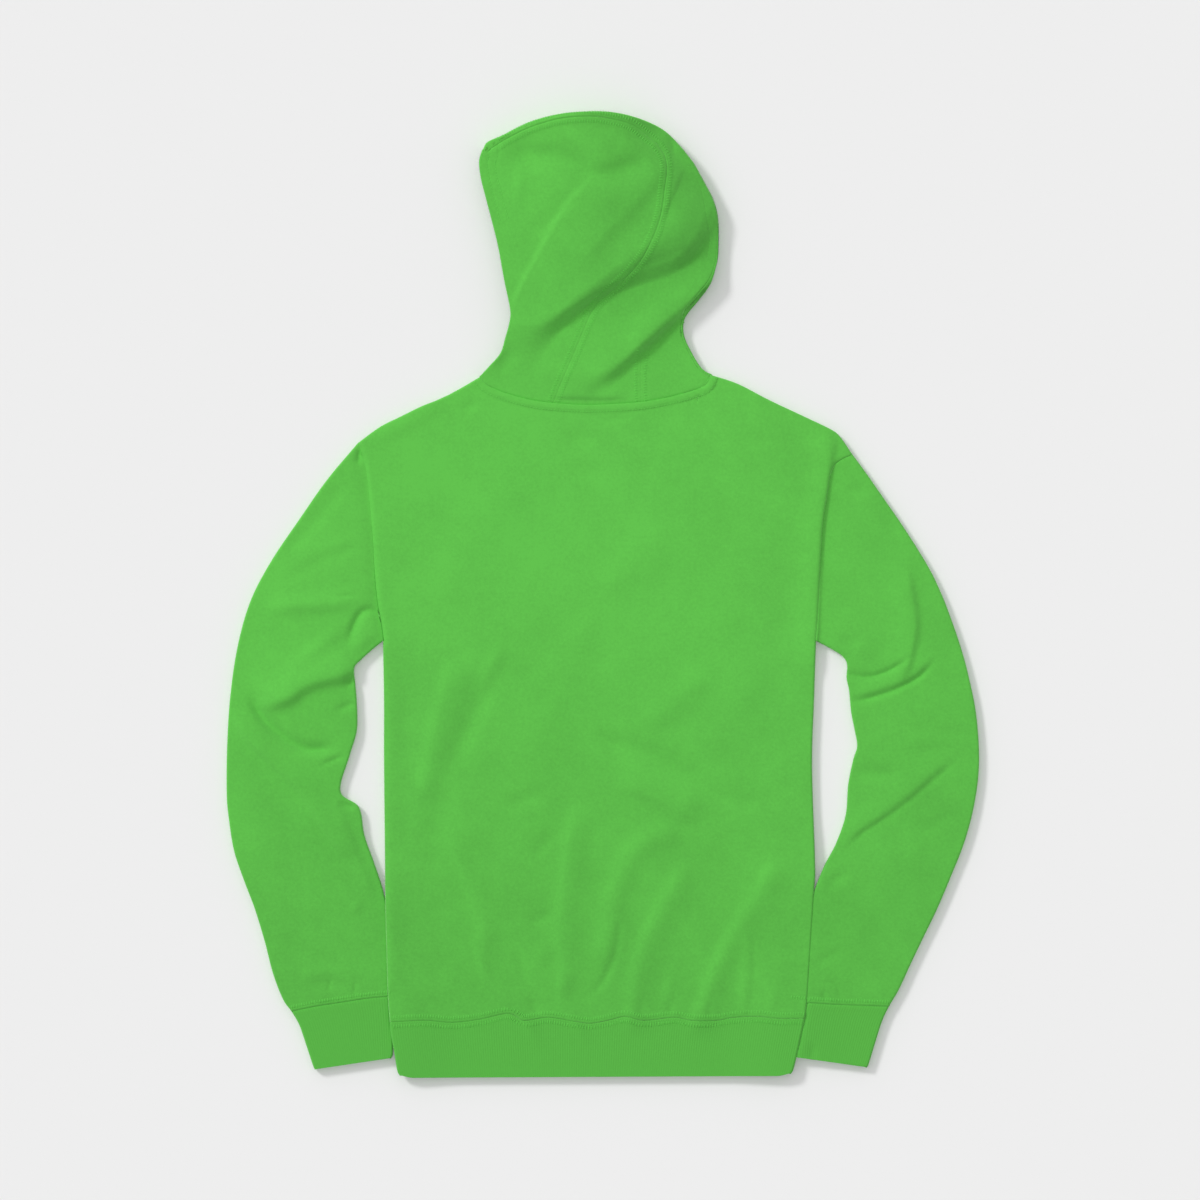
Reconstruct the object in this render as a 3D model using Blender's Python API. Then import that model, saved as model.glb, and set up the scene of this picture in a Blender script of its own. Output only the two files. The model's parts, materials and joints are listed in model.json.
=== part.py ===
"""A plain pullover hoodie laid face down and flat: its two body panels, two sleeves, two rib cuffs,
rib waistband and three-panel hood, each a thin-walled cloth solid."""

import bpy
import numpy as np

# Every table below is in millimetres on the laying-out table, x to the right and y towards the hem,
# from the table's far left corner. The wearer's left is on the left. MID is the garment's centre.
MID_X = 603.0
MID_Y = 595.0

FLEECE = 2.5  # wall of the brushed fleece panels
RIB = 3.0  # wall of the folded rib
STACK = 8.5  # thickness of the garment where one layer rests on the other
BODY_STACK = 8.8
SEAM_GAP = 0.3  # between two panels along a seam
SEAM = SEAM_GAP / 2 + 0.02  # from the middle of a seam to each cut edge
HEM_TURN = 20.0  # hood opening hem, turned under
HEM_RADIUS = 1.45  # middle of the wall at the turned hem
TUCK_LIFT = 10.0  # the body's edges ride this high over the tucked sleeve ends

ROLL_MM = np.array([0.0, 1.0, 3.4, 9.0])  # columns this far in from a rolled side, for its curve
SHOULDER_CORNERS = (398, 440, 744, 785, 820, 838)  # x of the corners that back and front share
CUT_STEPS = 1600  # points of a seam drawn as a polygon, less one

# Fractions at which neighbouring pieces share the corners of a seam.
ARM_AT = 0.337  # share of the body's side that is armhole
ARM_KNOTS = np.array([0, 0.05, 0.1, 0.16, 0.33, 0.55, 0.78, 0.98, 1])
BODY_ROWS = np.unique(np.r_[0, 0.0017, 0.006, ARM_AT * ARM_KNOTS, np.linspace(ARM_AT, 1, 15)])
ACROSS = np.array([0, 0.006, 0.02, 0.05, 0.1, 0.16, 0.245, 0.33, 0.44, 0.55, 0.665, 0.78, 0.89,
                   0.95, 0.98, 0.994, 1])
UNDER = np.array([1, 2, 3, 4, 5, 7, 9, 11, 13, 14, 15])
NECK_KNOTS = (np.array([0, 0.14, 0.34, 0.66, 1]), np.array([0, 0.34, 0.67, 1]),
              np.array([0, 0.34, 0.7, 0.88, 1]))
LEFT_TOP_KNOTS = np.array([0, 0.14, 0.25, 0.34, 0.44, 0.55, 0.66, 0.76, 0.85, 0.93, 1])
LEFT_DOWN_KNOTS = np.array([0, 0.04, 0.09, 0.16, 0.24, 0.32, 0.4, 0.47, 0.54, 0.61, 0.68, 0.76, 0.84,
                            0.92, 1])
SEAM_TURN = 0.42  # share of the hood's first seam that runs along the crown
CROWN_SHARE = 0.93  # share of the crown edge beside that length of seam
CROWN_KNOTS = np.r_[LEFT_TOP_KNOTS * CROWN_SHARE, 0.975, 1]
FRONT_NECK_KNOTS = CROWN_KNOTS[[0, 1, 2, 4, 6, 8, 10, 12]]
NECK_CORNERS = np.round(FRONT_NECK_KNOTS * CUT_STEPS).astype(int)
CENTER_ACROSS = np.array([0, 0.17, 0.34, 0.5, 0.67, 0.82, 0.93, 1])
RIGHT_ACROSS = np.array([0, 0.05, 0.12, 0.3, 0.5, 0.66, 0.83, 1])

GREEN = (0.112, 0.491, 0.072, 1.0)
RIB_GREEN = (0.104, 0.470, 0.068, 1.0)

# Body, from neck point to hem: columns x, y.
SHOULDER_LEFT = [(358, 443), (380, 427), (402, 416), (420, 407), (440, 399), (456, 391), (480, 377)]
SHOULDER_RIGHT = [(711, 375), (738, 384), (769, 400), (803, 416), (832, 430), (841, 438), (852, 454)]
NECK_BACK = [(480, 377), (487, 385), (505, 393), (531, 400), (553, 403), (585, 405),
             (614, 404), (641, 402), (665, 398), (692, 391), (706, 385), (711, 375)]
NECK_FRONT = [(480, 377), (492, 398), (515, 420), (545, 434), (585, 440),
              (620, 438), (655, 427), (685, 408), (702, 391), (711, 375)]
ARMHOLE_LEFT = [(358, 443), (365, 467), (369, 503), (372, 538), (374, 572), (377, 602),
                (381, 625), (383, 641)]
ARMHOLE_RIGHT = [(852, 454), (843, 458), (835, 464), (830, 476), (827, 497), (823, 523),
                 (820.5, 563), (819, 598), (817.5, 625), (816, 641)]
SIDE_LEFT = [(383, 641), (384, 700), (384, 760), (385, 860), (385.5, 905), (387, 960),
             (388, 996), (390, 1021)]
SIDE_RIGHT = [(816, 641), (814, 700), (812, 766), (815, 863), (814, 891), (810, 955),
              (807, 1001), (805, 1018)]
HEM = [(390, 1021.5), (425, 1020), (452, 1022), (479, 1019), (509, 1013), (524, 1020), (548, 1017),
       (575, 1021), (590, 1023), (608, 1020), (626, 1016), (644, 1020), (674, 1017), (692, 1020),
       (716, 1020), (734, 1017), (758, 1016), (779, 1018), (805, 1018)]

# Sleeves: one row for each ring, columns outer x, outer y, inner x, inner y, rise in the middle.
SLEEVE_LEFT = [
    (358, 443, 383, 641, 0.0),
    (327, 480, 372, 650, 2.0),
    (299, 520, 361, 660, 3.5),
    (272, 560, 354.5, 668, 4.0),
    (251, 600, 355.5, 684, 4.0),
    (238, 645, 357, 703, 4.5),
    (230.5, 695, 357, 730, 4.5),
    (227.3, 745, 350, 755, 4.0),
    (226.8, 792, 340.5, 791, 3.5),
    (228.5, 815, 359, 807, 3.5),
    (234, 850, 364.5, 835, 3.5),
    (244, 880, 374, 862, 3.5),
    (255, 909, 384.5, 895, 2.5),
    (265, 942, 389.5, 930, 2.0),
    (273, 973, 391, 962, 2.0),
    (283, 999, 391.5, 985, 2.0),
    (291.5, 1011, 391.5, 996, 1.0),
]
SLEEVE_RIGHT = [
    (852, 454, 816, 641, 0.0),
    (866, 473, 833, 650, 1.5),
    (882, 496, 843, 657, 3.0),
    (898, 519, 847, 665, 4.0),
    (915, 545, 846.5, 678, 4.5),
    (930, 570, 849, 691, 4.5),
    (941, 593, 851, 712, 4.5),
    (950, 616, 854.5, 730, 4.5),
    (960, 645, 857, 746, 4.0),
    (968, 674, 853, 760, 4.0),
    (976, 714, 848, 785, 4.0),
    (979, 760, 845.5, 815, 4.0),
    (975, 800, 836, 843, 3.5),
    (965, 840, 825, 864, 3.5),
    (951, 876, 816, 885, 2.0),
    (937, 909, 806, 913, 1.5),
    (922, 940, 798, 943, 1.4),
    (911, 963, 794, 968, 1.4),
    (899, 989, 791.5, 989, 1.4),
    (889, 1006, 790, 1001.5, 1.0),
]
CUFF_LEFT = [
    (291.5, 1011, 391.5, 996, 1.0),
    (299.5, 1025, 392.5, 1012, 0.5),
    (307, 1047, 393, 1036, 0.3),
    (313, 1065, 393, 1053, 0.0),
    (315, 1069.5, 391, 1058.5, 0.0),
]
CUFF_RIGHT = [
    (889, 1006, 790, 1001.5, 1.0),
    (882, 1021, 787, 1016, 0.5),
    (875, 1043, 785.5, 1036, 0.3),
    (868.5, 1064, 785, 1052, 0.0),
    (866.5, 1067.5, 787, 1056.5, 0.0),
]
CUFF_SEAM_LEFT = [(291.5, 1011), (316, 1006), (342, 1002), (368, 998), (391.5, 996)]
CUFF_SEAM_RIGHT = [(889, 1006), (842, 1004.5), (809, 1002.5), (790, 1001.5)]
CUFF_KNOTS = np.array([0, 0.33, 0.66, 1])
SLEEVE_RINGS = 29
CUFF_RINGS = 5
ARM_FOOT = 0.98  # share of the armhole past which a sleeve steps clear of the body's side
FOOT_STEP = (2.1, -0.8)  # outwards and towards the neck

# Waistband: its two ends and its lower edge, columns x, y.
BAND_LEFT = [(390, 1021.5), (391.5, 1036), (394.5, 1053), (398.5, 1071), (403, 1078)]
BAND_RIGHT = [(805, 1018), (801, 1036), (797, 1054), (792.5, 1070), (789, 1076.5)]
BAND_BOTTOM = [(403, 1078), (418, 1078.5), (600, 1078), (770, 1077), (789, 1076.5)]
BAND_ROWS = np.array([0, 0.2, 0.55, 0.85, 1])

# Hood: the opening edge, and the long edges of the centre panel, columns x, y.
OPENING = [(483, 150), (479.5, 162), (481, 178), (486, 198), (493, 224), (499, 248), (505, 280),
           (511, 308), (511, 320), (507, 336), (502, 352), (492, 364), (480, 377)]
LEFT_SEAM_TOP = [(488, 152.5), (508, 138.5), (531, 128), (561, 119.5), (592, 117.5), (614, 120.5),
                 (632, 126), (646, 136), (657, 145)]
LEFT_SEAM_DOWN = [(657, 145), (664, 156), (666.5, 170), (664.5, 190), (662, 210), (656, 231),
                  (645, 254), (631, 272), (612, 290), (598, 303), (589, 318), (581, 337),
                  (571, 361), (562, 381), (553, 403)]
CROWN_EDGE = [(483, 150), (487, 143), (504, 134), (529, 122.5), (560, 114.5), (592, 112),
              (617, 113.5), (642, 120), (663, 130), (679, 145), (692, 161), (696, 167)]
RIGHT_SEAM = [(690, 166), (697, 180), (702, 195), (706, 217), (709, 238), (707, 258), (697, 280),
              (680, 306), (664, 324), (652, 337), (643, 350), (640.5, 372), (641, 402)]
UNDER_IN = 3  # the under layer's opening edge lies this far inside the upper one's
CORNER_CLEAR = (1.7, 1.3)  # from the neck point of the right shoulder to the hood's corner
BACK_EDGE = [(696, 167), (705, 184), (713, 200), (717.5, 218), (718, 242), (716.5, 262),
             (710, 280), (697, 296), (686, 309), (682.5, 322), (683, 336), (690, 352),
             (700, 368), (711, 375)]

# Folds: three points along each, its half width and its height (below 0 for a trough).
BODY_FOLDS = [
    (452, 667, 437, 715, 418, 790, 11, 2.2),
    (462, 685, 449, 735, 429, 826, 9, -1.4),
    (440, 832, 473, 895, 510, 1004, 10, 2.8),
    (566, 820, 560, 900, 566, 1006, 10, 2.4),
    (587, 790, 578, 850, 574, 900, 9, -1.3),
    (659, 832, 611, 886, 600, 964, 10, 2.3),
    (686, 850, 626, 892, 604, 985, 9, -1.5),
    (680, 868, 644, 940, 630, 1008, 10, 2.4),
    (770, 865, 725, 946, 690, 1008, 11, 2.4),
    (750, 925, 750, 970, 740, 1008, 9, -1.4),
    (620, 748, 700, 776, 790, 806, 11, -1.4),
    (612, 768, 660, 790, 705, 808, 10, 1.6),
    (700, 680, 660, 712, 620, 740, 16, 1.2),
    (365, 446, 405, 424, 445, 406, 8, 1.2),
    (800, 424, 822, 434, 840, 448, 8, 1.2),
]
SLEEVE_FOLDS = [
    (262, 608, 300, 604, 345, 598, 9, 2.4),
    (268, 618, 305, 615, 345, 609, 7, -1.6),
    (280, 692, 320, 668, 372, 632, 12, 4.2),
    (290, 704, 312, 688, 352, 687, 7, -3.6),
    (240, 690, 290, 757, 375, 880, 10, 3.6),
    (252, 698, 283, 736, 335, 778, 8, -3.2),
    (296, 974, 332, 962, 362, 988, 9, 2.0),
    (885, 586, 902, 620, 885, 665, 12, 2.4),
    (907, 584, 913, 630, 898, 682, 7, -3.2),
    (850, 680, 880, 672, 905, 655, 7, -2.4),
    (852, 690, 890, 682, 920, 655, 7, 2.6),
    (856, 701, 900, 688, 938, 655, 7, -3.4),
    (860, 718, 900, 706, 948, 680, 12, 2.4),
    (862, 812, 905, 785, 950, 752, 12, 2.6),
    (862, 830, 915, 795, 957, 766, 8, -3.0),
]
HOOD_FOLDS = [
    (591, 183, 553, 235, 513, 305, 12, 5.0),
    (574, 190, 545, 218, 517, 241, 8, -1.8),
    (538, 151, 590, 158, 641, 158, 9, -2.0),
    (658, 183, 632, 215, 606, 245, 10, -3.0),
    (655, 270, 600, 294, 530, 352, 9, -4.6),
    (650, 205, 618, 255, 585, 290, 8, 2.4),
    (713, 222, 699, 244, 660, 275, 9, -4.2),
    (705, 272, 655, 318, 590, 370, 13, 9.0),
    (690, 318, 655, 346, 612, 388, 7, -2.6),
    (700, 200, 690, 215, 676, 240, 9, 2.4),
]


def curve(rows, count=160):
    """Evenly spaced points along a smooth line through the rows."""
    p = np.array(rows, float)
    p = np.vstack([2 * p[0] - p[1], p, 2 * p[-1] - p[-2]])
    out = []
    for a, b, c, d in zip(p[:-3], p[1:-2], p[2:-1], p[3:]):
        t = np.linspace(0, 1, 12, endpoint=False)[:, None]
        tb = (c - a) / 2
        tc = (d - b) / 2
        out.append(b + t * tb + t * t * (3 * (c - b) - 2 * tb - tc) + t**3 * (2 * (b - c) + tb + tc))
    out = np.vstack(out + [p[-2][None]])
    return even(out, count)


def even(line, count):
    """The line again, as evenly spaced points."""
    step = np.r_[0, np.cumsum(np.hypot(*np.diff(line[:, :2], axis=0).T))]
    at = np.linspace(0, step[-1], count)
    return np.stack([np.interp(at, step, line[:, k]) for k in range(line.shape[1])], 1)


def square_to(line):
    """Unit steps to the right hand of a line, seen from above with y towards the hem."""
    way = np.gradient(line, axis=0)
    way /= np.hypot(*way.T)[:, None] + 1e-9
    return np.stack([-way[:, 1], way[:, 0]], 1)


def inset(line, by):
    """The line moved to its right hand."""
    return line + by * square_to(line)


def cut(line, knots, first=None, last=None):
    """The line as a polygon with corners at these fractions, so that both pieces of a seam share them."""
    at = np.linspace(0, 1, CUT_STEPS + 1)
    corners = along(line, np.asarray(knots))
    if first is not None:
        corners[0] = first
    if last is not None:
        corners[-1] = last
    return np.stack([np.interp(at, knots, corners[:, k]) for k in range(2)], 1)


def along(line, at):
    """Points at these fractions of an evenly spaced line."""
    step = np.linspace(0, 1, len(line))
    return np.stack([np.interp(at, step, line[:, k]) for k in range(2)], 1)


def joined(lines, ends, at):
    """Points at the fractions along several lines in a row, the ends of the lines lying at ends."""
    at = np.asarray(at, float)
    out = np.zeros((len(at), 2))
    for line, lo, hi in zip(lines, ends[:-1], ends[1:]):
        here = (at >= lo - 1e-9) & (at <= hi + 1e-9)
        out[here] = along(line, (at[here] - lo) / (hi - lo))
    return out


def patch(top, bottom, left, right, us, vs):
    """Grid of points, rows from top to bottom, filling the four rows of points given."""
    u = np.asarray(us)[None, :, None]
    v = np.asarray(vs)[:, None, None]
    sides = (1 - v) * top[None] + v * bottom[None] + (1 - u) * left[:, None] + u * right[:, None]
    corners = ((1 - u) * (1 - v) * top[0] + u * (1 - v) * top[-1]
               + (1 - u) * v * bottom[0] + u * v * bottom[-1])
    return sides - corners


def between(a, b, at):
    """Points at these fractions of the straight way from a to b."""
    return a + (b - a) * np.asarray(at)[:, None]


def away(xy, lines):
    """Distance of each point from the nearest of the lines."""
    flat = xy.reshape(-1, 2)
    best = np.full(len(flat), 1e9)
    for line in lines:
        a = line[:-1]
        b = line[1:] - a
        size = (b**2).sum(1) + 1e-12
        rel = flat[:, None] - a[None]
        t = np.clip((rel * b[None]).sum(2) / size[None], 0, 1)
        gap = np.hypot(*(rel - t[..., None] * b[None]).transpose(2, 0, 1))
        best = np.minimum(best, gap.min(1))
    return best.reshape(xy.shape[:-1])


def smooth(t):
    """From 0 to 1 with level ends."""
    t = np.clip(t, 0, 1)
    return t * t * (3 - 2 * t)


def folded(xy, table):
    """Sum of the folds' heights: each a soft ridge or trough that dies out at both ends."""
    flat = xy.reshape(-1, 2)
    total = np.zeros(len(flat))
    for x0, y0, x1, y1, x2, y2, width, height in table:
        line = curve([(x0, y0), (x1, y1), (x2, y2)], 15)
        rel = flat[:, None] - line[None]
        gap = np.hypot(rel[..., 0], rel[..., 1])
        near = gap.argmin(1)
        fade = smooth(np.minimum(near, 14 - near) / 3.5 + 0.15)
        total += height * fade * np.exp(-((gap.min(1) / width) ** 2))
    return total.reshape(xy.shape[:-1])


def lift(xy):
    """The body's sides ride up over the sleeve ends tucked under them."""
    x, y = xy[..., 0], xy[..., 1]
    left = smooth((462 - x) / 66) * smooth((y - 838) / 56)
    right = smooth((x - 718) / 64) * smooth((y - 800) / 74)
    return TUCK_LIFT * (left + right)


def layer(xy, base, relief, side, rolled, wall, raised=0.0):
    """Height of the middle of the wall of the upper (side 1) or lower (side -1) layer.
    Both layers meet at half height along the rolled edges, and only the upper one has relief."""
    low = wall / 2
    half = (base - wall) / 2
    reach = 1.15 * half + 0.5
    d = np.clip(away(xy, rolled) / reach, 0, 1)
    turn = np.sqrt(np.maximum(1 - (1 - d) ** 2, 0))
    if side > 0:
        return low + half + np.maximum((half + relief) * turn, SEAM) + raised
    return low + half - np.maximum(half * turn, SEAM) + raised


def grid_normals(m, ghost):
    """Unit normals of a grid of points; ghost names the sides that curl on, mirrored in height."""
    def diff(a, axis, first=None, last=None):
        a = np.moveaxis(a, axis, 0)
        before = 2 * a[:1] - a[1:2]
        after = 2 * a[-1:] - a[-2:-1]
        for mask, beyond, near in ((first, before, a[1:2]), (last, after, a[-2:-1])):
            if mask is not None:
                beyond[..., :2] = np.where(mask[None, :, None], near[..., :2], beyond[..., :2])
        steps = np.diff(np.concatenate([before, a, after]), axis=0)
        steps /= np.linalg.norm(steps, axis=-1, keepdims=True) + 1e-9
        return np.moveaxis(steps[:-1] + steps[1:], 0, axis)

    if ghost == "tube":
        ring = np.concatenate([m[:, -1:], m, m[:, :1]], 1)
        du = diff(ring, 1)[:, 1:-1]
        dv = diff(m, 0)
    else:
        du = diff(m, 1, ghost.get("u0"), ghost.get("u1"))
        dv = diff(m, 0, ghost.get("v0"), ghost.get("v1"))
    n = np.cross(du, dv)
    return n / (np.linalg.norm(n, axis=-1, keepdims=True) + 1e-9)


def square_rims(mid, n, ghost):
    """Turns the normals along a cut edge so that its rim stands square to the seam."""
    n = n.copy()
    sides = [((0, slice(None)), "v0"), ((-1, slice(None)), "v1")]
    if ghost != "tube":
        sides += [((slice(None), 0), "u0"), ((slice(None), -1), "u1")]
    for where, side in sides:
        flat = mid[where][:, :2]
        fore = np.roll(flat, -1, 0) - flat
        fore[-1] = flat[-1] - flat[-2]
        short = np.hypot(*fore.T) < 0.05
        back = flat - np.roll(flat, 1, 0)
        back[0] = flat[1] - flat[0]
        way = fore + np.where(ghost == "tube", 0, 1) * back
        way[short] = back[short]
        way /= np.hypot(*way.T)[:, None] + 1e-9
        e = np.stack([-way[:, 1], way[:, 0], 0 * way[:, 0]], 1)
        new = n[where] - (n[where] * e).sum(1, keepdims=True) * e
        new /= np.linalg.norm(new, axis=1, keepdims=True) + 1e-9
        keep = ghost.get(side) if ghost != "tube" else None
        if keep is not None:
            new = np.where(np.asarray(keep)[:, None], n[where], new)
        n[where] = new
    return n


def solid(name, mid, wall, colour, ghost, up=1):
    """A closed solid of the wall thickness about the grid of middle points."""
    n = grid_normals(mid, ghost)
    rows, cols = mid.shape[:2]
    if ghost != "tube":
        n *= up
    else:
        centre = mid.mean(1, keepdims=True)
        if ((mid - centre) * n).sum() < 0:
            n = -n
    n = square_rims(mid, n, ghost)
    outer = mid + n * wall / 2
    inner = mid - n * wall / 2
    index = np.arange(rows * cols).reshape(rows, cols)
    far = index + rows * cols
    faces = []
    wrap = ghost == "tube"
    for i in range(rows - 1):
        for j in range(cols if wrap else cols - 1):
            k = (j + 1) % cols
            faces.append((index[i, j], index[i, k], index[i + 1, k], index[i + 1, j]))
            faces.append((far[i, j], far[i + 1, j], far[i + 1, k], far[i, k]))
    for j in range(cols if wrap else cols - 1):
        k = (j + 1) % cols
        faces.append((index[0, k], index[0, j], far[0, j], far[0, k]))
        faces.append((index[-1, j], index[-1, k], far[-1, k], far[-1, j]))
    if not wrap:
        for i in range(rows - 1):
            faces.append((index[i, 0], index[i + 1, 0], far[i + 1, 0], far[i, 0]))
            faces.append((index[i + 1, -1], index[i, -1], far[i, -1], far[i + 1, -1]))
    points = np.concatenate([outer.reshape(-1, 3), inner.reshape(-1, 3)])
    place = np.stack([points[:, 0] - MID_X, MID_Y - points[:, 1], points[:, 2]], 1) / 1000
    place[:, 2] = np.maximum(place[:, 2], 0)
    quads = np.array(faces)
    a, b, c, d = (place[quads[:, k]] for k in range(4))
    volume = (np.cross(a, b) * c).sum() + (np.cross(a, c) * d).sum()
    if volume < 0:
        quads = quads[:, ::-1]
    mesh = bpy.data.meshes.new(name)
    mesh.from_pydata(place.tolist(), [], quads.tolist())
    mesh.polygons.foreach_set("use_smooth", [True] * len(quads))
    mesh.update()
    obj = bpy.data.objects.new(name, mesh)
    bpy.context.scene.collection.objects.link(obj)
    stuff = bpy.data.materials.new(name + "_cloth")
    stuff.use_nodes = True
    shader = stuff.node_tree.nodes["Principled BSDF"]
    shader.inputs["Base Color"].default_value = colour
    shader.inputs["Roughness"].default_value = 0.95
    shader.inputs["Metallic"].default_value = 0.0
    mesh.materials.append(stuff)
    return obj


def xyz(xy, z):
    """The grid with its heights as a third column."""
    return np.concatenate([xy, z[..., None]], -1)


def outlines():
    """Rolled edges of the lower garment, the middle of the wall lying half a wall inside the outline."""
    h = FLEECE / 2
    lines = {
        "shoulder_left": inset(curve(SHOULDER_LEFT), h),
        "shoulder_right": inset(curve(SHOULDER_RIGHT), h),
        "side_left": inset(curve(SIDE_LEFT), -h),
        "side_right": inset(curve(SIDE_RIGHT), h),
        "crown": inset(curve(CROWN_EDGE), h),
        "back": inset(curve(BACK_EDGE), h),
    }
    for end, places in (("shoulder_left", SHOULDER_CORNERS[:2]), ("shoulder_right", SHOULDER_CORNERS[2:])):
        line = lines[end]
        x = np.r_[line[0, 0], places, line[-1, 0]]
        corners = np.stack([x, np.interp(x, line[:, 0], line[:, 1])], 1)
        fine = np.linspace(x[0], x[-1], 161)
        lines[end] = np.stack([fine, np.interp(fine, x, corners[:, 1])], 1)
    lines["arm_left"] = cut(curve(ARMHOLE_LEFT), ARM_KNOTS, lines["shoulder_left"][0],
                            lines["side_left"][0])
    lines["arm_right"] = cut(curve(ARMHOLE_RIGHT), ARM_KNOTS, lines["shoulder_right"][-1],
                             lines["side_right"][0])
    for side, rows, sign in (("left", SLEEVE_LEFT, 1), ("right", SLEEVE_RIGHT, -1)):
        lines["outer_" + side] = inset(curve([r[:2] for r in rows]), -sign * h)
        lines["inner_" + side] = inset(curve([r[2:4] for r in rows]), sign * h)
    return lines


def body_columns(lines, front):
    """Places across the body, with a column at each corner of the neck seam. The front panel has
    fewer, and its shoulder columns are among the back's."""
    if front:
        neck = neck_front(lines)[NECK_CORNERS, 0]
        left = SHOULDER_CORNERS[:2]
        right = SHOULDER_CORNERS[2:]
    else:
        neck = np.concatenate([part[:, 0] for part in neck_corners(lines)])
        left = [382, 398, 411, 424, 440, 458]
        right = [728, 744, 757, 770, 785, 801, 820, 838]
    neck = np.unique(np.round(neck, 4))
    x0 = lines["shoulder_left"][0, 0]
    x1 = lines["shoulder_right"][-1, 0]
    return np.r_[x0 + ROLL_MM * 1.15, left, neck, right, x1 - ROLL_MM[::-1] * 1.15]


def neck_corners(lines):
    """Corners of the back neck seam, in three lengths."""
    parts = [along(curve(part), cuts) for part, cuts in zip(neck_parts(), NECK_KNOTS)]
    parts[0][0] = lines["shoulder_left"][-1]
    parts[2][-1] = lines["shoulder_right"][0]
    return parts


def neck_front(lines):
    """The front neck seam, between the ends of the shoulders."""
    return cut(curve(NECK_FRONT), FRONT_NECK_KNOTS, lines["shoulder_left"][-1], lines["shoulder_right"][0])


def neck_parts():
    """The back neck seam in its three lengths, one for each panel of the hood."""
    return ([p for p in NECK_BACK if p[0] < 554], [p for p in NECK_BACK if 552 < p[0] < 642],
            [p for p in NECK_BACK if p[0] > 640])


def body_panel(name, lines, side):
    """The back (side 1) or the front (side -1), from shoulders and neck to hem."""
    vs = BODY_ROWS
    x = body_columns(lines, side < 0)
    corners = body_columns(lines, True)
    line_left = lines["shoulder_left"]
    line_right = lines["shoulder_right"]
    neck = np.vstack(neck_corners(lines)) if side > 0 else neck_front(lines)
    whole = np.vstack([line_left, line_right])
    shoulder = np.interp(x, corners, np.interp(corners, whole[:, 0], whole[:, 1]))
    over = (x < line_left[-1, 0] + 1e-3) | (x > line_right[0, 0] - 1e-3)
    top = np.stack([x, np.where(over, shoulder, np.interp(x, neck[:, 0], neck[:, 1]))], 1)
    us = (x - x[0]) / (x[-1] - x[0])
    ends = (0, ARM_AT, 1)
    left = joined([lines["arm_left"] + (SEAM, 0), lines["side_left"]], ends, vs)
    right = joined([lines["arm_right"] - (SEAM, 0), lines["side_right"]], ends, vs)
    left[0] = top[0]
    right[0] = top[-1]
    bottom = hem_points(us, side, FLEECE / 2) - (0, SEAM)
    left[-1] = bottom[0] = bottom[0] - (0, 0.1)
    right[-1] = bottom[-1] = bottom[-1] - (0, 0.1)
    xy = patch(top, bottom, left, right, us, vs)
    rolled = [lines["shoulder_left"], lines["shoulder_right"], lines["side_left"], lines["side_right"],
              lines["outer_left"][:40], lines["outer_right"][:40],
              lines["inner_left"][:40], lines["inner_right"][:40]]
    z = layer(xy, BODY_STACK, folded(xy, BODY_FOLDS) if side > 0 else 0, side, rolled, FLEECE, lift(xy))
    beside = np.asarray(vs) > ARM_AT - 1e-6
    return solid(name, xyz(xy, z), FLEECE, GREEN, {"u0": beside, "u1": beside, "v0": over}, up=side)


def hem_points(us, side, inner):
    """The hem seam: wavy where the back is gathered, straight on the front."""
    x = between(HEM[0][0] + inner, HEM[-1][0] - inner, us)[:, 0]
    line = curve(HEM, 400)
    if side < 0:
        line = np.array([HEM[0], HEM[-1]], float)
    return np.stack([x, np.interp(x, line[:, 0], line[:, 1])], 1)


def ring_tube(rows, other_rolled, wall, table, first, last, count, ends):
    """Rings of a flattened tube of cloth. first and last are the shapes of the seams at its ends."""
    rows = np.array(rows, float)
    at = np.linspace(0, 1, count)
    outer = curve(rows[:, :2], 400)
    inner = curve(rows[:, 2:4], 400)
    sign = 1 if outer[0, 0] < inner[0, 0] else -1
    outer = inset(outer, -sign * wall / 2)
    inner = inset(inner, sign * wall / 2)
    stations = np.linspace(0, 1, len(rows))
    so = [np.argmin(np.hypot(*(outer - r).T)) / 399 for r in rows[:, :2]]
    si = [np.argmin(np.hypot(*(inner - r).T)) / 399 for r in rows[:, 2:4]]
    po = along(outer, np.interp(at, stations, so))
    pi = along(inner, np.interp(at, stations, si))
    rise = np.interp(at, stations, rows[:, 4])
    for seam, end in ((first, 0), (last, -1)):
        if seam is not None:
            po[end] = seam[0]
            pi[end] = seam[-1]
    w = ACROSS[None, :, None]
    xy = po[:, None] * (1 - w) + pi[:, None] * w
    for seam, blend in ((first, 1 - smooth(at / 0.25)), (last, smooth((at - 0.8) / 0.2))):
        if seam is not None:
            stray = along(seam, ACROSS) - between(seam[0], seam[-1], ACROSS)
            xy += blend[:, None, None] * stray[None]
    xy[0] += ends[0]
    xy[-1] += ends[1]
    relief = rise[:, None] * np.sin(np.pi * ACROSS)[None] ** 0.7 + folded(xy, table)
    rolled = [even(xy[:, 0], 200), even(xy[:, -1], 200)] + other_rolled
    upper = layer(xy, STACK, relief, 1, rolled, wall)
    lower = layer(xy, STACK, 0, -1, rolled, wall)
    for j in (0, -1):
        upper[:, j] = (upper[:, j] + lower[:, j]) / 2
    back = UNDER[::-1]
    return np.concatenate([xyz(xy, upper), xyz(xy[:, back], lower[:, back])], 1)


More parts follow.
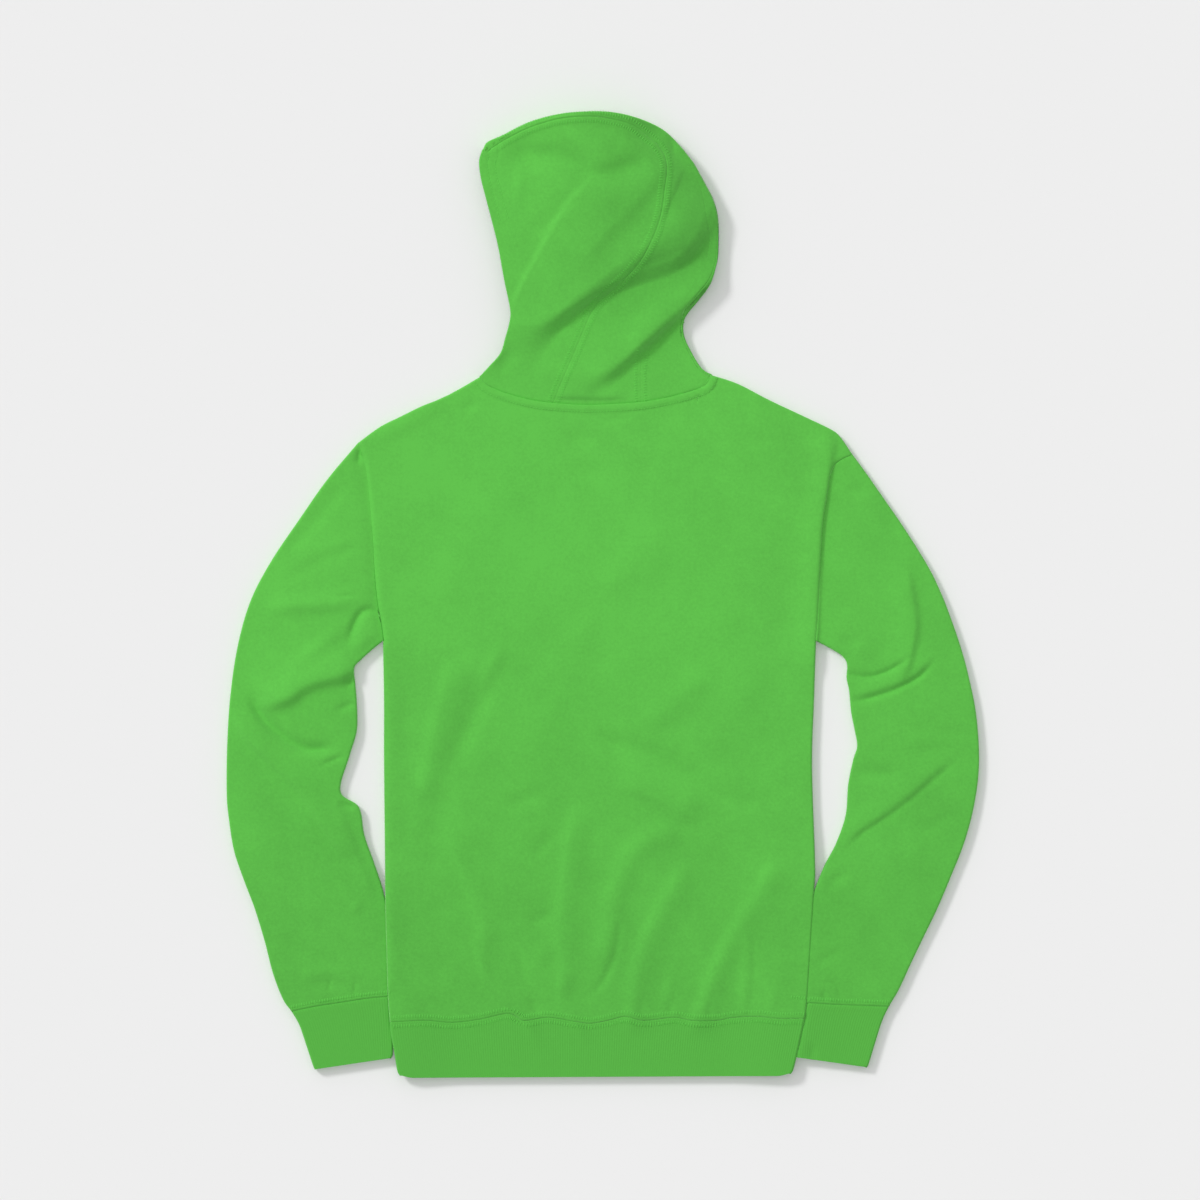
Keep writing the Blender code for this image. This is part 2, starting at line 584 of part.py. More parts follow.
def sleeve(name, rows, shared, armhole, cuff_seam, side):
    """A sleeve from armhole to cuff seam. Its ring steps clear of the body at the foot of the armhole."""
    out = -1 if side == "left" else 1
    armhole = armhole.copy()
    near = np.linspace(0, 1, len(armhole)) > ARM_FOOT
    armhole[near] += np.linspace(0, 1, near.sum())[:, None] * (out * FOOT_STEP[0], FOOT_STEP[1])
    ring = ring_tube(rows, shared, FLEECE, SLEEVE_FOLDS, armhole,
                     cut(curve(cuff_seam), CUFF_KNOTS), SLEEVE_RINGS, ((out * SEAM_GAP, 0), (0, -SEAM)))
    return solid(name, ring, FLEECE, GREEN, "tube")


def cuff(name, rows, cuff_seam):
    """A cuff from its seam to the folded end of its rib."""
    ring = ring_tube(rows, [], RIB, [], cut(curve(cuff_seam), CUFF_KNOTS), None, CUFF_RINGS,
                     ((0, SEAM), (0, 0)))
    return solid(name, ring, RIB, RIB_GREEN, "tube")


def waistband(lines):
    """The rib band round the hem, its seam shared with the body panels."""
    us = body_columns(lines, False)
    us = (us - us[0]) / (us[-1] - us[0])
    vs = BAND_ROWS
    left = inset(curve(BAND_LEFT), -RIB / 2)
    right = inset(curve(BAND_RIGHT), RIB / 2)
    sides = (along(left, vs), along(right, vs))
    grids = []
    for side in (1, -1):
        top = hem_points(us, side, RIB / 2) + (0, SEAM)
        top[0] += (0, 0.1)
        top[-1] += (0, 0.1)
        sides[0][0] = top[0]
        sides[1][0] = top[-1]
        low = along(curve(BAND_BOTTOM), us)
        low[0] = left[-1]
        low[-1] = right[-1]
        grids.append(patch(top, low, *sides, us, vs))
    rolled = [left, right]
    upper = layer(grids[0], BODY_STACK, 0.6 * folded(grids[0], BODY_FOLDS), 1, rolled, RIB, lift(grids[0]))
    lower = layer(grids[1], BODY_STACK, 0, -1, rolled, RIB, lift(grids[1]))
    for j in (0, -1):
        upper[:, j] = (upper[:, j] + lower[:, j]) / 2
    back = np.r_[1:5, 6:len(us) - 6:3, len(us) - 5:len(us) - 1][::-1]
    ring = np.concatenate([xyz(grids[0], upper), xyz(grids[1][:, back], lower[:, back])], 1)
    return solid("waistband", ring, RIB, RIB_GREEN, "tube")


def hood_top(xy):
    """Height of the hood's upper layer: low along the neck and the opening, full at the back."""
    x, y = xy[..., 0], xy[..., 1]
    from_neck = smooth((402 - y) / 46)
    from_opening = smooth((x - 490) / 70)
    full_back = smooth((x - 640) / 60) * smooth((330 - y) / 90)
    base = STACK + 1.2 * from_neck + 4.0 * from_neck * from_opening + 4.5 * full_back
    fade = smooth((400 - y) / 22)
    return base, np.maximum(folded(xy, HOOD_FOLDS) * fade, 8.2 - base)


def hood_left(lines):
    """Left side of the hood, from the hem turned under at the opening to the first seam."""
    us = LEFT_TOP_KNOTS
    vs = LEFT_DOWN_KNOTS
    opening = along(inset(curve(OPENING), -FLEECE / 2), 0.004 + 0.985 * vs)
    top = along(curve(LEFT_SEAM_TOP), us)
    down = along(curve(LEFT_SEAM_DOWN), vs)
    top = top + SEAM * square_to(top)
    down = down + SEAM * square_to(down)
    neck = along(cut(curve(neck_parts()[0]), NECK_KNOTS[0]), us) - (0, 2 * SEAM)
    opening[0] = top[0] = top[0] + (0.3, 0.6)
    opening[-1] = neck[0] = neck[0] + (1.5, -0.6)
    top[-1] = down[0]
    down[-1] = neck[-1] = neck[-1] - (SEAM, 0)
    xy = patch(top, neck, opening, down, us, vs)
    rolled = [lines["crown"]]
    z = layer(xy, *hood_top(xy), 1, rolled, FLEECE)
    inward = np.array([1.0, 0.0])
    r = HEM_RADIUS
    bend = []
    for angle in (168, 135, 90, 45, 12):
        a = np.radians(angle)
        point = xy[:, 0] + inward * (r - r * np.sin(a))
        bend.append(xyz(point, z[:, 0] - r - r * np.cos(a)))
    flat = []
    for reach in (HEM_TURN, HEM_TURN * 0.5):
        point = xy[:, 0] + inward * reach
        below = layer(point, *hood_top(point), 1, rolled, FLEECE)
        flat.append(xyz(point, below - 2 * r - 0.15))
    turned = np.stack(flat + bend, 1)
    mid = np.concatenate([turned, xyz(xy, z)[:, 1:]], 1)
    return solid("hood_left", mid, FLEECE, GREEN, {}, up=1)


def center_rows():
    """Fractions down the centre panel: along the crown, then down to the neck."""
    return np.r_[LEFT_TOP_KNOTS * SEAM_TURN, SEAM_TURN + (1 - SEAM_TURN) * LEFT_DOWN_KNOTS[1:]]


def right_rows():
    """Fractions down the right-hand seam at which the centre and right panels share corners."""
    down = LEFT_DOWN_KNOTS
    return (down[2:] - down[2]) / (1 - down[2])


def hood_center(lines):
    """The centre panel of the hood, between its two seams."""
    vs = center_rows()
    us = CENTER_ACROSS
    top = along(curve(LEFT_SEAM_TOP), LEFT_TOP_KNOTS)
    down = along(curve(LEFT_SEAM_DOWN), LEFT_DOWN_KNOTS)
    seam = np.vstack([top - SEAM * square_to(top), (down - SEAM * square_to(down))[1:]])
    crown = along(lines["crown"], CROWN_KNOTS[:-1])
    second = along(curve(RIGHT_SEAM), right_rows())
    outer = np.vstack([crown, second + SEAM * square_to(second)])
    neck = along(cut(curve(neck_parts()[1]), NECK_KNOTS[1]), us) - (0, 2 * SEAM)
    start = between(seam[0], outer[0], us)
    neck[0] = seam[-1] = neck[0] + (SEAM, 0)
    neck[-1] = outer[-1] = neck[-1] - (SEAM, 0)
    xy = patch(start, neck, seam, outer, us, vs)
    z = layer(xy, *hood_top(xy), 1, [lines["crown"]], FLEECE)
    edge = np.arange(len(vs)) < len(crown)
    return solid("hood_center", xyz(xy, z), FLEECE, GREEN, {"u1": edge}, up=1)


def hood_right(lines):
    """Under layer of the hood, round its back edge and up to the right-hand seam."""
    crown = lines["crown"]
    back = lines["back"]
    share = right_rows()
    vs = np.unique(np.r_[0, 0.008, 0.03, share])
    us = np.sort(np.r_[CROWN_KNOTS, 0.99])
    opening = along(inset(curve(OPENING), -FLEECE / 2), vs) + (UNDER_IN, 0)
    right = along(back, vs)
    right[-1] = lines["shoulder_right"][0] - CORNER_CLEAR
    crown_row = along(cut(crown, CROWN_KNOTS), us)
    neck = along(cut(curve(NECK_FRONT), FRONT_NECK_KNOTS, lines["shoulder_left"][-1], right[-1]), us)
    neck = neck - 5 * SEAM_GAP * square_to(neck)
    opening[0] = crown_row[0]
    neck[0] = opening[-1]
    crown_row[-1] = right[0]
    neck[-1] = right[-1]
    xy = patch(crown_row, neck, opening, right, us, vs)
    under = layer(xy, hood_top(xy)[0], 0, -1, [crown, back], FLEECE)
    under[0] = np.interp(us, CROWN_KNOTS, under[0][np.isin(us, CROWN_KNOTS)])
    over_at = RIGHT_ACROSS
    seam = along(cut(curve(RIGHT_SEAM), share), vs)
    seam = seam - SEAM * square_to(seam)
    seam[0] += (0, 1.8)
    back_neck = cut(curve(neck_parts()[2])[::-1], 1 - NECK_KNOTS[2][::-1], first=right[-1])
    back_neck = along(back_neck, over_at)
    wider = np.interp(over_at, [0, 0.06, 0.14, 0.3, 0.5], [1.0, 2.8, 2.6, 1.0, 2 * SEAM])[:, None]
    back_neck = back_neck + wider * square_to(back_neck)
    back_neck[0] = right[-1]
    back_neck[-1] = seam[-1] = back_neck[-1] + (SEAM, 0)
    over = patch(between(right[0], seam[0], over_at), back_neck, right, seam, over_at, vs)
    upper = layer(over, *hood_top(over), 1, [crown, back], FLEECE)
    upper[:, 0] = under[:, -1] = (upper[:, 0] + under[:, -1]) / 2
    mid = np.concatenate([xyz(xy, under), xyz(over, upper)[:, 1:]], 1)
    return solid("hood_right", mid, FLEECE, GREEN, {"v0": np.arange(mid.shape[1]) < len(us)}, up=-1)


def main():
    for obj in list(bpy.data.objects):
        bpy.data.objects.remove(obj, do_unlink=True)
    lines = outlines()
    body_panel("back", lines, 1)
    body_panel("front", lines, -1)
    shared_left = [lines["shoulder_left"], lines["side_left"][:60]]
    shared_right = [lines["shoulder_right"], lines["side_right"][:60]]
    sleeve("sleeve_left", SLEEVE_LEFT, shared_left, lines["arm_left"], CUFF_SEAM_LEFT, "left")
    sleeve("sleeve_right", SLEEVE_RIGHT, shared_right, lines["arm_right"], CUFF_SEAM_RIGHT, "right")
    cuff("cuff_left", CUFF_LEFT, CUFF_SEAM_LEFT)
    cuff("cuff_right", CUFF_RIGHT, CUFF_SEAM_RIGHT)
    waistband(lines)
    hood_left(lines)
    hood_center(lines)
    hood_right(lines)


main()
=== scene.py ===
"""Looks of a plain pullover hoodie laid out flat and face down: thin cloth shells with their folds,
seams and stitching, brushed fleece and fine rib, on a pale floor under soft studio light."""

import json

import bpy
import numpy as np
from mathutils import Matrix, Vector
from mathutils.bvhtree import BVHTree

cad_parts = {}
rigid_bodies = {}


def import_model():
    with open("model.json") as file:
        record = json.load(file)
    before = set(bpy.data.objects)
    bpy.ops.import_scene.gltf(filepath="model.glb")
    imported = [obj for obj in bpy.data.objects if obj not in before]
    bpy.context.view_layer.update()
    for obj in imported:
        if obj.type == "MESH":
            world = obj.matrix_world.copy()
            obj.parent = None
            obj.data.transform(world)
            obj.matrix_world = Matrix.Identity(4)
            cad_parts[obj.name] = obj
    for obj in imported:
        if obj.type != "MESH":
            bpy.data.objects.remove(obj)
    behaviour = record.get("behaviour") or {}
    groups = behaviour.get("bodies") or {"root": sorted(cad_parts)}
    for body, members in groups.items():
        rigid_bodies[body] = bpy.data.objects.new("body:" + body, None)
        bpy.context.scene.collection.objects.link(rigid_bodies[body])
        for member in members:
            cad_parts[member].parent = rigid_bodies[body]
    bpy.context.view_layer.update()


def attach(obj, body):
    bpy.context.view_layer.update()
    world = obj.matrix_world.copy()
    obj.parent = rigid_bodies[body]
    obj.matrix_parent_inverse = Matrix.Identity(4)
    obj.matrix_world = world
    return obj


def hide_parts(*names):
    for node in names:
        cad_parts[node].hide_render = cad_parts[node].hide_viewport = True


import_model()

bl_info = {
    "name": "Flat-laid pullover hoodie",
    "version": (1, 0, 0),
    "blender": (4, 5, 0),
    "location": "View3D > Sidebar > Hoodie",
    "description": "Builds the cloth, seams and studio of a pullover hoodie laid out flat",
    "category": "Object",
}

# Tables are in millimetres on the laying-out table, x to the right and y towards the hem. MID is
# the garment's centre, and MM turns them into the scene's metres.
MM = 0.001
MID_X = 603.0
MID_Y = 595.0
TABLE_X = 600.0  # the table's centre, under the camera
TABLE_Y = 600.0

STACK = 8.5  # thickness of the garment where one layer rests on the other
BODY_STACK = 8.8
SEAM = 0.02  # from the middle of a seam to each cut edge
FRONT_CELL = 4.0  # width of a cell on the front, the sleeves and the hood, against the back's
SLEEVE_CELL = 0.6
HOOD_CELL = 0.47
ROLL = 1.0  # a rolled edge climbs to its full height over this
ROLL_SQUARE = 3.8  # 2 would be a round roll; more is a flatter one
EDGE_STEPS = np.array([0.05, 0.2, 0.45])  # cells this close to an edge, for the wall of its roll
FINE = 0.75  # width of a cloth cell beside a seam or a rolled edge
SIDE_COLUMNS = 12  # a tube's under layer has every cell this near its sides
UNDER_EVERY = 3  # and one in this many between them
SHOULDER_CELLS = np.linspace(-10, 10, 27)  # cells about the neck points, where the outline turns
BODY_DEPTH = 640.0
HOOD_SIZES = {"left": (170.0, 280.0), "center": (85.0, 470.0)}  # across and down each panel
UNDER_SIZE = (220.0, 260.0)  # of the right panel under them, and its width on top
OVER_WIDTH = 60.0
ALLOWANCE_EDGE = 2.4  # the band that a seam's allowance raises slopes off over this
DIP = 0.35  # stitching pulls the cloth in by this
DIP_WIDTH = 0.8
HEM_TURN = 20.0  # hood opening hem, turned under
HEM_ROLL = 1.45  # radius of its roll, in the middle of the wall
HEM_CLEAR = 0.15  # between the hood and its hem
HEM_FADE = (190, 40)  # the hem's stitches show down to this y, and fade out over the second number
HOOD_LOOSE = 0.9  # the hood's two layers lie this much further apart than the body's
NECK_LOW = 404.0  # the hood rises from this y, over these lengths at the opening and at the back
NECK_RISE = 76.0
BACK_RISE = 34.0
NECK_SPAN = (496, 60)  # x where the first of them starts to pass to the second, and over what width
OPENING_SHARE = 0.6  # share of its full height at the opening
OPENING_SPAN = (484, 124)  # which it regains over this width from this x
BACK_SHARE = 0.45  # and at the back edge
BACK_SPAN = (0, 40)
FOLDS_FROM = (406, -12)  # its folds come up over this length, above this y
SEAM_FADE = 0.7  # share of their relief that the hood's seams lose towards the neck
SEAM_SPAN = (292, 36)
NECK_GAPS = [(0, 0.6), (0.06, 0.6), (0.14, 0.4), (0.3, 0.2), (0.5, 2 * SEAM)]  # right panel to body
TUCK_THIN = 3.3  # the sleeve ends tucked under the body are pressed thinner by this
TUCK_FLAT = 0.7  # and lose this share of their relief
TUCK_LIFT = 3.2  # the body's top rides this much higher over them
TUCK_PRESS = 2.1  # and the body itself is pressed thinner by this there
TUCK_LEAN = 0.25  # the tuck's edges follow the waistband's slanting ends
SIDE_LEAN = 0.03  # and the slight slant of the body's right side
BAND_TOP = 1018.0
BAND_DEPTH = 58.0
BAND_CALM = 0.5  # share of the body's folds that it loses, over this distance from the hem
BAND_REACH = 40.0
LEFT_FROM = (838, 56)  # y where the tuck starts, and the length over which it does
RIGHT_FROM = (800, 74)
LEFT_EDGE = (387, 6)  # x where a sleeve end goes under, and the width over which it does
RIGHT_EDGE = (807, -7)
LEFT_RIDE = (462, -66)  # x where the body starts to ride up, and the width over which it does
RIGHT_RIDE = (718, 64)
HEM_ROWS = (8.0, 16.0)  # rows of stitching in the hood's opening hem
NECK_BAND = 7.0  # from the neck seam to its topstitching
ARM_AT = 0.337  # share of the body's side that is armhole
ARM_GROOVES = {"left": (1.5, 8.0), "right": (0.4, 1.2)}  # depth and width of the groove on the sleeve
SEAM_TURN = 0.42  # share of the hood's first seam that runs along the crown
CROWN_END = 0.443  # share of the centre panel's far edge that is crown
SECOND_SEAM = 0.472  # and where the hood's second seam begins on it
FOLD_END = 28.0  # a narrow fold dies out over this length at either end
STITCH_PITCH = 3.0
LADDER_PITCH = 2.6  # of the rows whose thread runs across the seam
LADDER = 4.8  # and the length of their strands
BESIDE = 4.6  # from a seam to the middle of such a row
STITCH = 2.3  # the part of each stitch that shows
THREAD = 0.7
THREAD_SIDES = 6
THREAD_RINGS = 5
KNIT_DEPTH = 0.0004  # relief of the knit's loops, in metres
FUZZ = (0.5, 1.0, 0.4, 1.0)  # tint of the fuzz that shows at a glancing angle
# The ways that the lamps shine.
LAMPS = {"key": (0.63, -0.52, -0.57), "softbox": (0.55, -0.65, -0.85), "overhead": (0, 0, -1)}
FLOOR_SIZE = 12.0
FLOOR_LEVEL = -0.0003  # just clear of the cloth that lies on it
CAMERA_HEIGHT = 12.0

# Body, from neck point to hem: columns x, y.
SHOULDER_LEFT = [(358, 443), (380, 427), (402, 416), (420, 407), (440, 399), (456, 391), (480, 377)]
SHOULDER_RIGHT = [(711, 375), (738, 384), (769, 400), (803, 416), (832, 430), (841, 438), (852, 454)]
NECK_BACK = [(480, 377), (487, 385), (505, 393), (531, 400), (553, 403), (585, 405),
             (614, 404), (641, 402), (665, 398), (692, 391), (706, 385), (711, 375)]
NECK_FRONT = [(480, 377), (492, 398), (515, 420), (545, 434), (585, 440),
              (620, 438), (655, 427), (685, 408), (702, 391), (711, 375)]
ARMHOLE_LEFT = [(358, 443), (365, 467), (369, 503), (372, 538), (374, 572), (377, 602),
                (381, 625), (383, 641)]
ARMHOLE_RIGHT = [(852, 454), (843, 458), (835, 464), (830, 476), (827, 497), (823, 523),
                 (820.5, 563), (819, 598), (817.5, 625), (816, 641)]
SIDE_LEFT = [(383, 641), (384, 700), (384, 760), (385, 860), (385.5, 905), (387, 960),
             (388, 996), (390, 1021)]
SIDE_RIGHT = [(816, 641), (814, 700), (812, 766), (815, 863), (814, 891), (810, 955),
              (807, 1001), (805, 1018)]
HEM = [(390, 1021.5), (425, 1020), (452, 1022), (479, 1019), (509, 1013), (524, 1020), (548, 1017),
       (575, 1021), (590, 1023), (608, 1020), (626, 1016), (644, 1020), (674, 1017), (692, 1020),
       (716, 1020), (734, 1017), (758, 1016), (779, 1018), (805, 1018)]

# Sleeves and cuffs: one row for each ring, columns outer x, outer y, inner x, inner y, rise. CROWNED
# is the share of its rise that a ring has at its middle.
CROWNED = 0.55
FIRST_BLEND = (0, 0.25)  # the rings take on the seam's shape from this share of the length, over
LAST_BLEND = (0.8, 0.2)  # the second number: at a sleeve's start, and at its end
SLEEVE_LEFT = [
    (358, 443, 383, 641, 0.0),
    (327, 480, 372, 650, 2.0),
    (299, 520, 361, 660, 3.5),
    (272, 560, 354.5, 668, 4.0),
    (251, 600, 355.5, 684, 4.0),
    (238, 645, 357, 703, 4.5),
    (230.5, 695, 357, 730, 4.5),
    (227.3, 745, 350, 755, 4.0),
    (226.8, 792, 340.5, 791, 3.5),
    (228.5, 815, 359, 807, 3.5),
    (234, 850, 364.5, 835, 3.5),
    (244, 880, 374, 862, 3.5),
    (255, 909, 384.5, 895, 2.5),
    (265, 942, 389.5, 930, 2.0),
    (273, 973, 391, 962, 2.0),
    (283, 999, 391.5, 985, 2.0),
    (291.5, 1011, 391.5, 996, 1.0),
]
SLEEVE_RIGHT = [
    (852, 454, 816, 641, 0.0),
    (866, 473, 833, 650, 1.5),
    (882, 496, 843, 657, 2.0),
    (898, 519, 847, 665, 2.0),
    (915, 545, 846.5, 678, 2.0),
    (930, 570, 849, 691, 2.0),
    (941, 593, 851, 712, 2.0),
    (950, 616, 854.5, 730, 2.5),
    (960, 645, 857, 746, 3.0),
    (968, 674, 853, 760, 3.5),
    (976, 714, 848, 785, 4.0),
    (979, 760, 845.5, 815, 4.0),
    (975, 800, 836, 843, 3.5),
    (965, 840, 825, 864, 3.5),
    (951, 876, 816, 885, 2.0),
    (937, 909, 806, 913, 1.5),
    (922, 940, 798, 943, 1.4),
    (911, 963, 794, 968, 1.4),
    (899, 989, 791.5, 989, 1.4),
    (889, 1006, 790, 1001.5, 1.0),
]
CUFF_LEFT = [
    (291.5, 1011, 391.5, 996, 1.0),
    (299.5, 1025, 392.5, 1012, 0.5),
    (307, 1047, 393, 1036, 0.3),
    (313, 1065, 393, 1053, 0.0),
    (315, 1069.5, 391, 1058.5, 0.0),
]
CUFF_RIGHT = [
    (889, 1006, 790, 1001.5, 1.0),
    (882, 1021, 787, 1016, 0.5),
    (875, 1043, 785.5, 1036, 0.3),
    (868.5, 1064, 785, 1052, 0.0),
    (866.5, 1067.5, 787, 1056.5, 0.0),
]
CUFF_SEAM_LEFT = [(291.5, 1011), (316, 1006), (342, 1002), (368, 998), (391.5, 996)]
CUFF_SEAM_RIGHT = [(889, 1006), (842, 1004.5), (809, 1002.5), (790, 1001.5)]
ARMS = {"left": (SLEEVE_LEFT, CUFF_LEFT, CUFF_SEAM_LEFT),
        "right": (SLEEVE_RIGHT, CUFF_RIGHT, CUFF_SEAM_RIGHT)}
BAND_LEFT = [(390, 1021.5), (391.5, 1036), (394.5, 1053), (397.3, 1070), (400, 1075.6)]
BAND_RIGHT = [(805, 1018), (801, 1036), (797, 1054), (793.2, 1069.5), (790.5, 1073.8)]
BAND_SAG = 2.6  # its lower edge hangs this much below its corners
BAND_CORNER = 14.0  # and is this far in to do so

# Hood: the opening edge, its two seams, and its outline, columns x, y.
OPENING = [(483, 150), (479.5, 162), (481, 178), (486, 198), (493, 224), (499, 248), (505, 280),
           (511, 308), (511, 320), (507, 336), (502, 352), (492, 364), (480, 377)]
LEFT_SEAM_TOP = [(488, 152.5), (495.5, 146.6), (508, 139), (531, 128), (561, 119.5), (592, 117.5),
                 (614, 120.5), (632, 126), (646, 136), (657, 145)]
LEFT_SEAM_DOWN = [(657, 145), (664, 156), (666.5, 170), (664.5, 190), (662, 210), (656, 231),
                  (645, 254), (631, 272), (612, 290), (598, 303), (589, 318), (581, 337),
                  (571, 361), (562, 381), (553, 403)]
CROWN_EDGE = [(483, 150), (487.5, 142.5), (503, 135.5), (529, 122.7), (560, 114.5), (592, 112),
              (617, 113.5), (642, 120), (663, 130), (679, 145), (692, 161), (696, 167)]
RIGHT_SEAM = [(690, 166), (697, 180), (702, 195), (706, 217), (709, 238), (707, 258), (697, 280),
              (680, 306), (664, 324), (652, 337), (643, 350), (640.5, 372), (641, 402)]
# The stretches of the hood's seams that show, and the depth of the groove along each.
HOOD_SEAMS = [(LEFT_SEAM_TOP, 0.7), (LEFT_SEAM_DOWN, 0.8), (RIGHT_SEAM[:6], 0.2), (RIGHT_SEAM[10:], 0.3)]
HOOD_STITCHED = [LEFT_SEAM_TOP[1:], LEFT_SEAM_DOWN, RIGHT_SEAM[10:]]
BACK_EDGE = [(696, 167), (705, 184), (713, 200), (717.5, 218), (718, 242), (716.5, 262),
             (710, 280), (697, 296), (686, 309), (682.5, 322), (683, 336), (690, 352),
             (700, 368), (711, 375)]

# Folds, each a soft ridge, or a trough where its height is below 0. Columns: half width on its left
# hand and on its right hand, height, then the points along it, as a rule from right to left or down.
ARMHOLE_RIDGE = (3.5, 16, 3.2, (834, 424), (831, 446), (828, 470), (824, 500), (820, 530), (818, 563),
                 (816, 600), (813, 680))
BODY_FOLDS = [
    (20, 9, 2.2, (461, 652), (443, 704), (432, 753), (424, 806)),
    (18, 14, -2.0, (494, 668), (474, 700), (458, 740), (443, 785), (435, 830), (434, 880)),
    (13, 8, 1.7, (508, 636), (491, 672), (477, 706)),
    (9, 9, -1.2, (516, 650), (495, 679), (480, 704), (466, 737), (452, 768)),
    (15, 6, 2.2, (443, 826), (461, 864), (479, 909), (489, 958)),
    (9, 3, 1.7, (474, 930), (484, 972), (502, 996), (522, 1016), (540, 1050)),
    (16, 8, 2.5, (584, 798), (571, 845), (566, 893), (563, 935), (566, 975), (562, 1000)),
    (8, 3, 1.3, (562, 960), (561, 998), (573, 1018), (588, 1050)),
    (5, 6, -1.7, (514, 948), (532, 986)),
    (3, 3, -1.7, (525, 996), (542, 1016)),
    (8, 8, 1.1, (560, 936), (541, 960), (545, 978)),
    (7, 9, -1.4, (561, 824), (530, 862)),
    (8, 8, -1.3, (552, 791), (495, 808)),
    (6, 7, -1.3, (559, 912), (521, 927)),
    (9, 10, -2.5, (776, 804), (730, 798), (701, 785), (664, 761), (631, 748), (592, 735)),
    (8, 22, 3.5, (704, 824), (672, 806), (645, 792), (610, 781)),
    (13, 12, 2.8, (684, 834), (652, 839), (632, 856), (620, 880), (613, 908), (608, 940), (600, 974)),
    (3.5, 4, -1.3, (621, 912), (616, 950), (608, 972), (596, 990), (580, 995)),
    (15, 8, 2.7, (690, 858), (665, 905), (648, 940), (637, 975), (634, 1000), (632, 1040)),
    (15, 8, 3.1, (779, 852), (763, 890), (743, 921), (726, 950), (711, 985), (702, 1010), (688, 1040)),
    (3, 8, 1.3, (749, 925), (748, 979), (744, 1008), (736, 1018)),
    (5, 5, 0.9, (674, 968), (663, 1012)),
    (4, 4, 0.7, (773, 984), (772, 1014)),
    (14, 15, 1.8, (720, 664), (682, 696), (636, 733)),
    (20, 16, 1.2, (560, 700), (530, 745), (505, 780)),
    (24, 24, 1.3, (520, 470), (470, 540), (440, 610)),
    (24, 20, 1.2, (680, 520), (610, 590), (570, 660)),
    (22, 22, 1.1, (770, 640), (730, 720), (700, 760)),
    (3, 3, -0.9, (641, 994), (642, 1020)),
    (3, 3, -0.9, (670, 998), (669, 1020)),
    (3, 3, -0.9, (711, 996), (709, 1020)),
    (6, 6, -0.9, (634, 417), (596, 422)),
    (6, 6, -1.0, (604, 443), (558, 435)),
    (8, 8, -1.2, (618, 473), (564, 467)),
    (7, 9, 1.2, (448, 403), (405, 424), (362, 447)),
    (4, 4, -1.1, (482, 405), (458, 407)),
    (6, 6, -1.0, (848, 441), (824, 432)),
    (4, 4, -1.2, (711, 383), (693, 387)),
    ARMHOLE_RIDGE,
    (12, 4, 1.3, (374, 560), (383, 640), (390, 700), (390, 800), (391, 900), (393, 1000)),
    (70, 50, 1.5, (742, 360), (760, 440), (790, 540), (800, 600)),
]
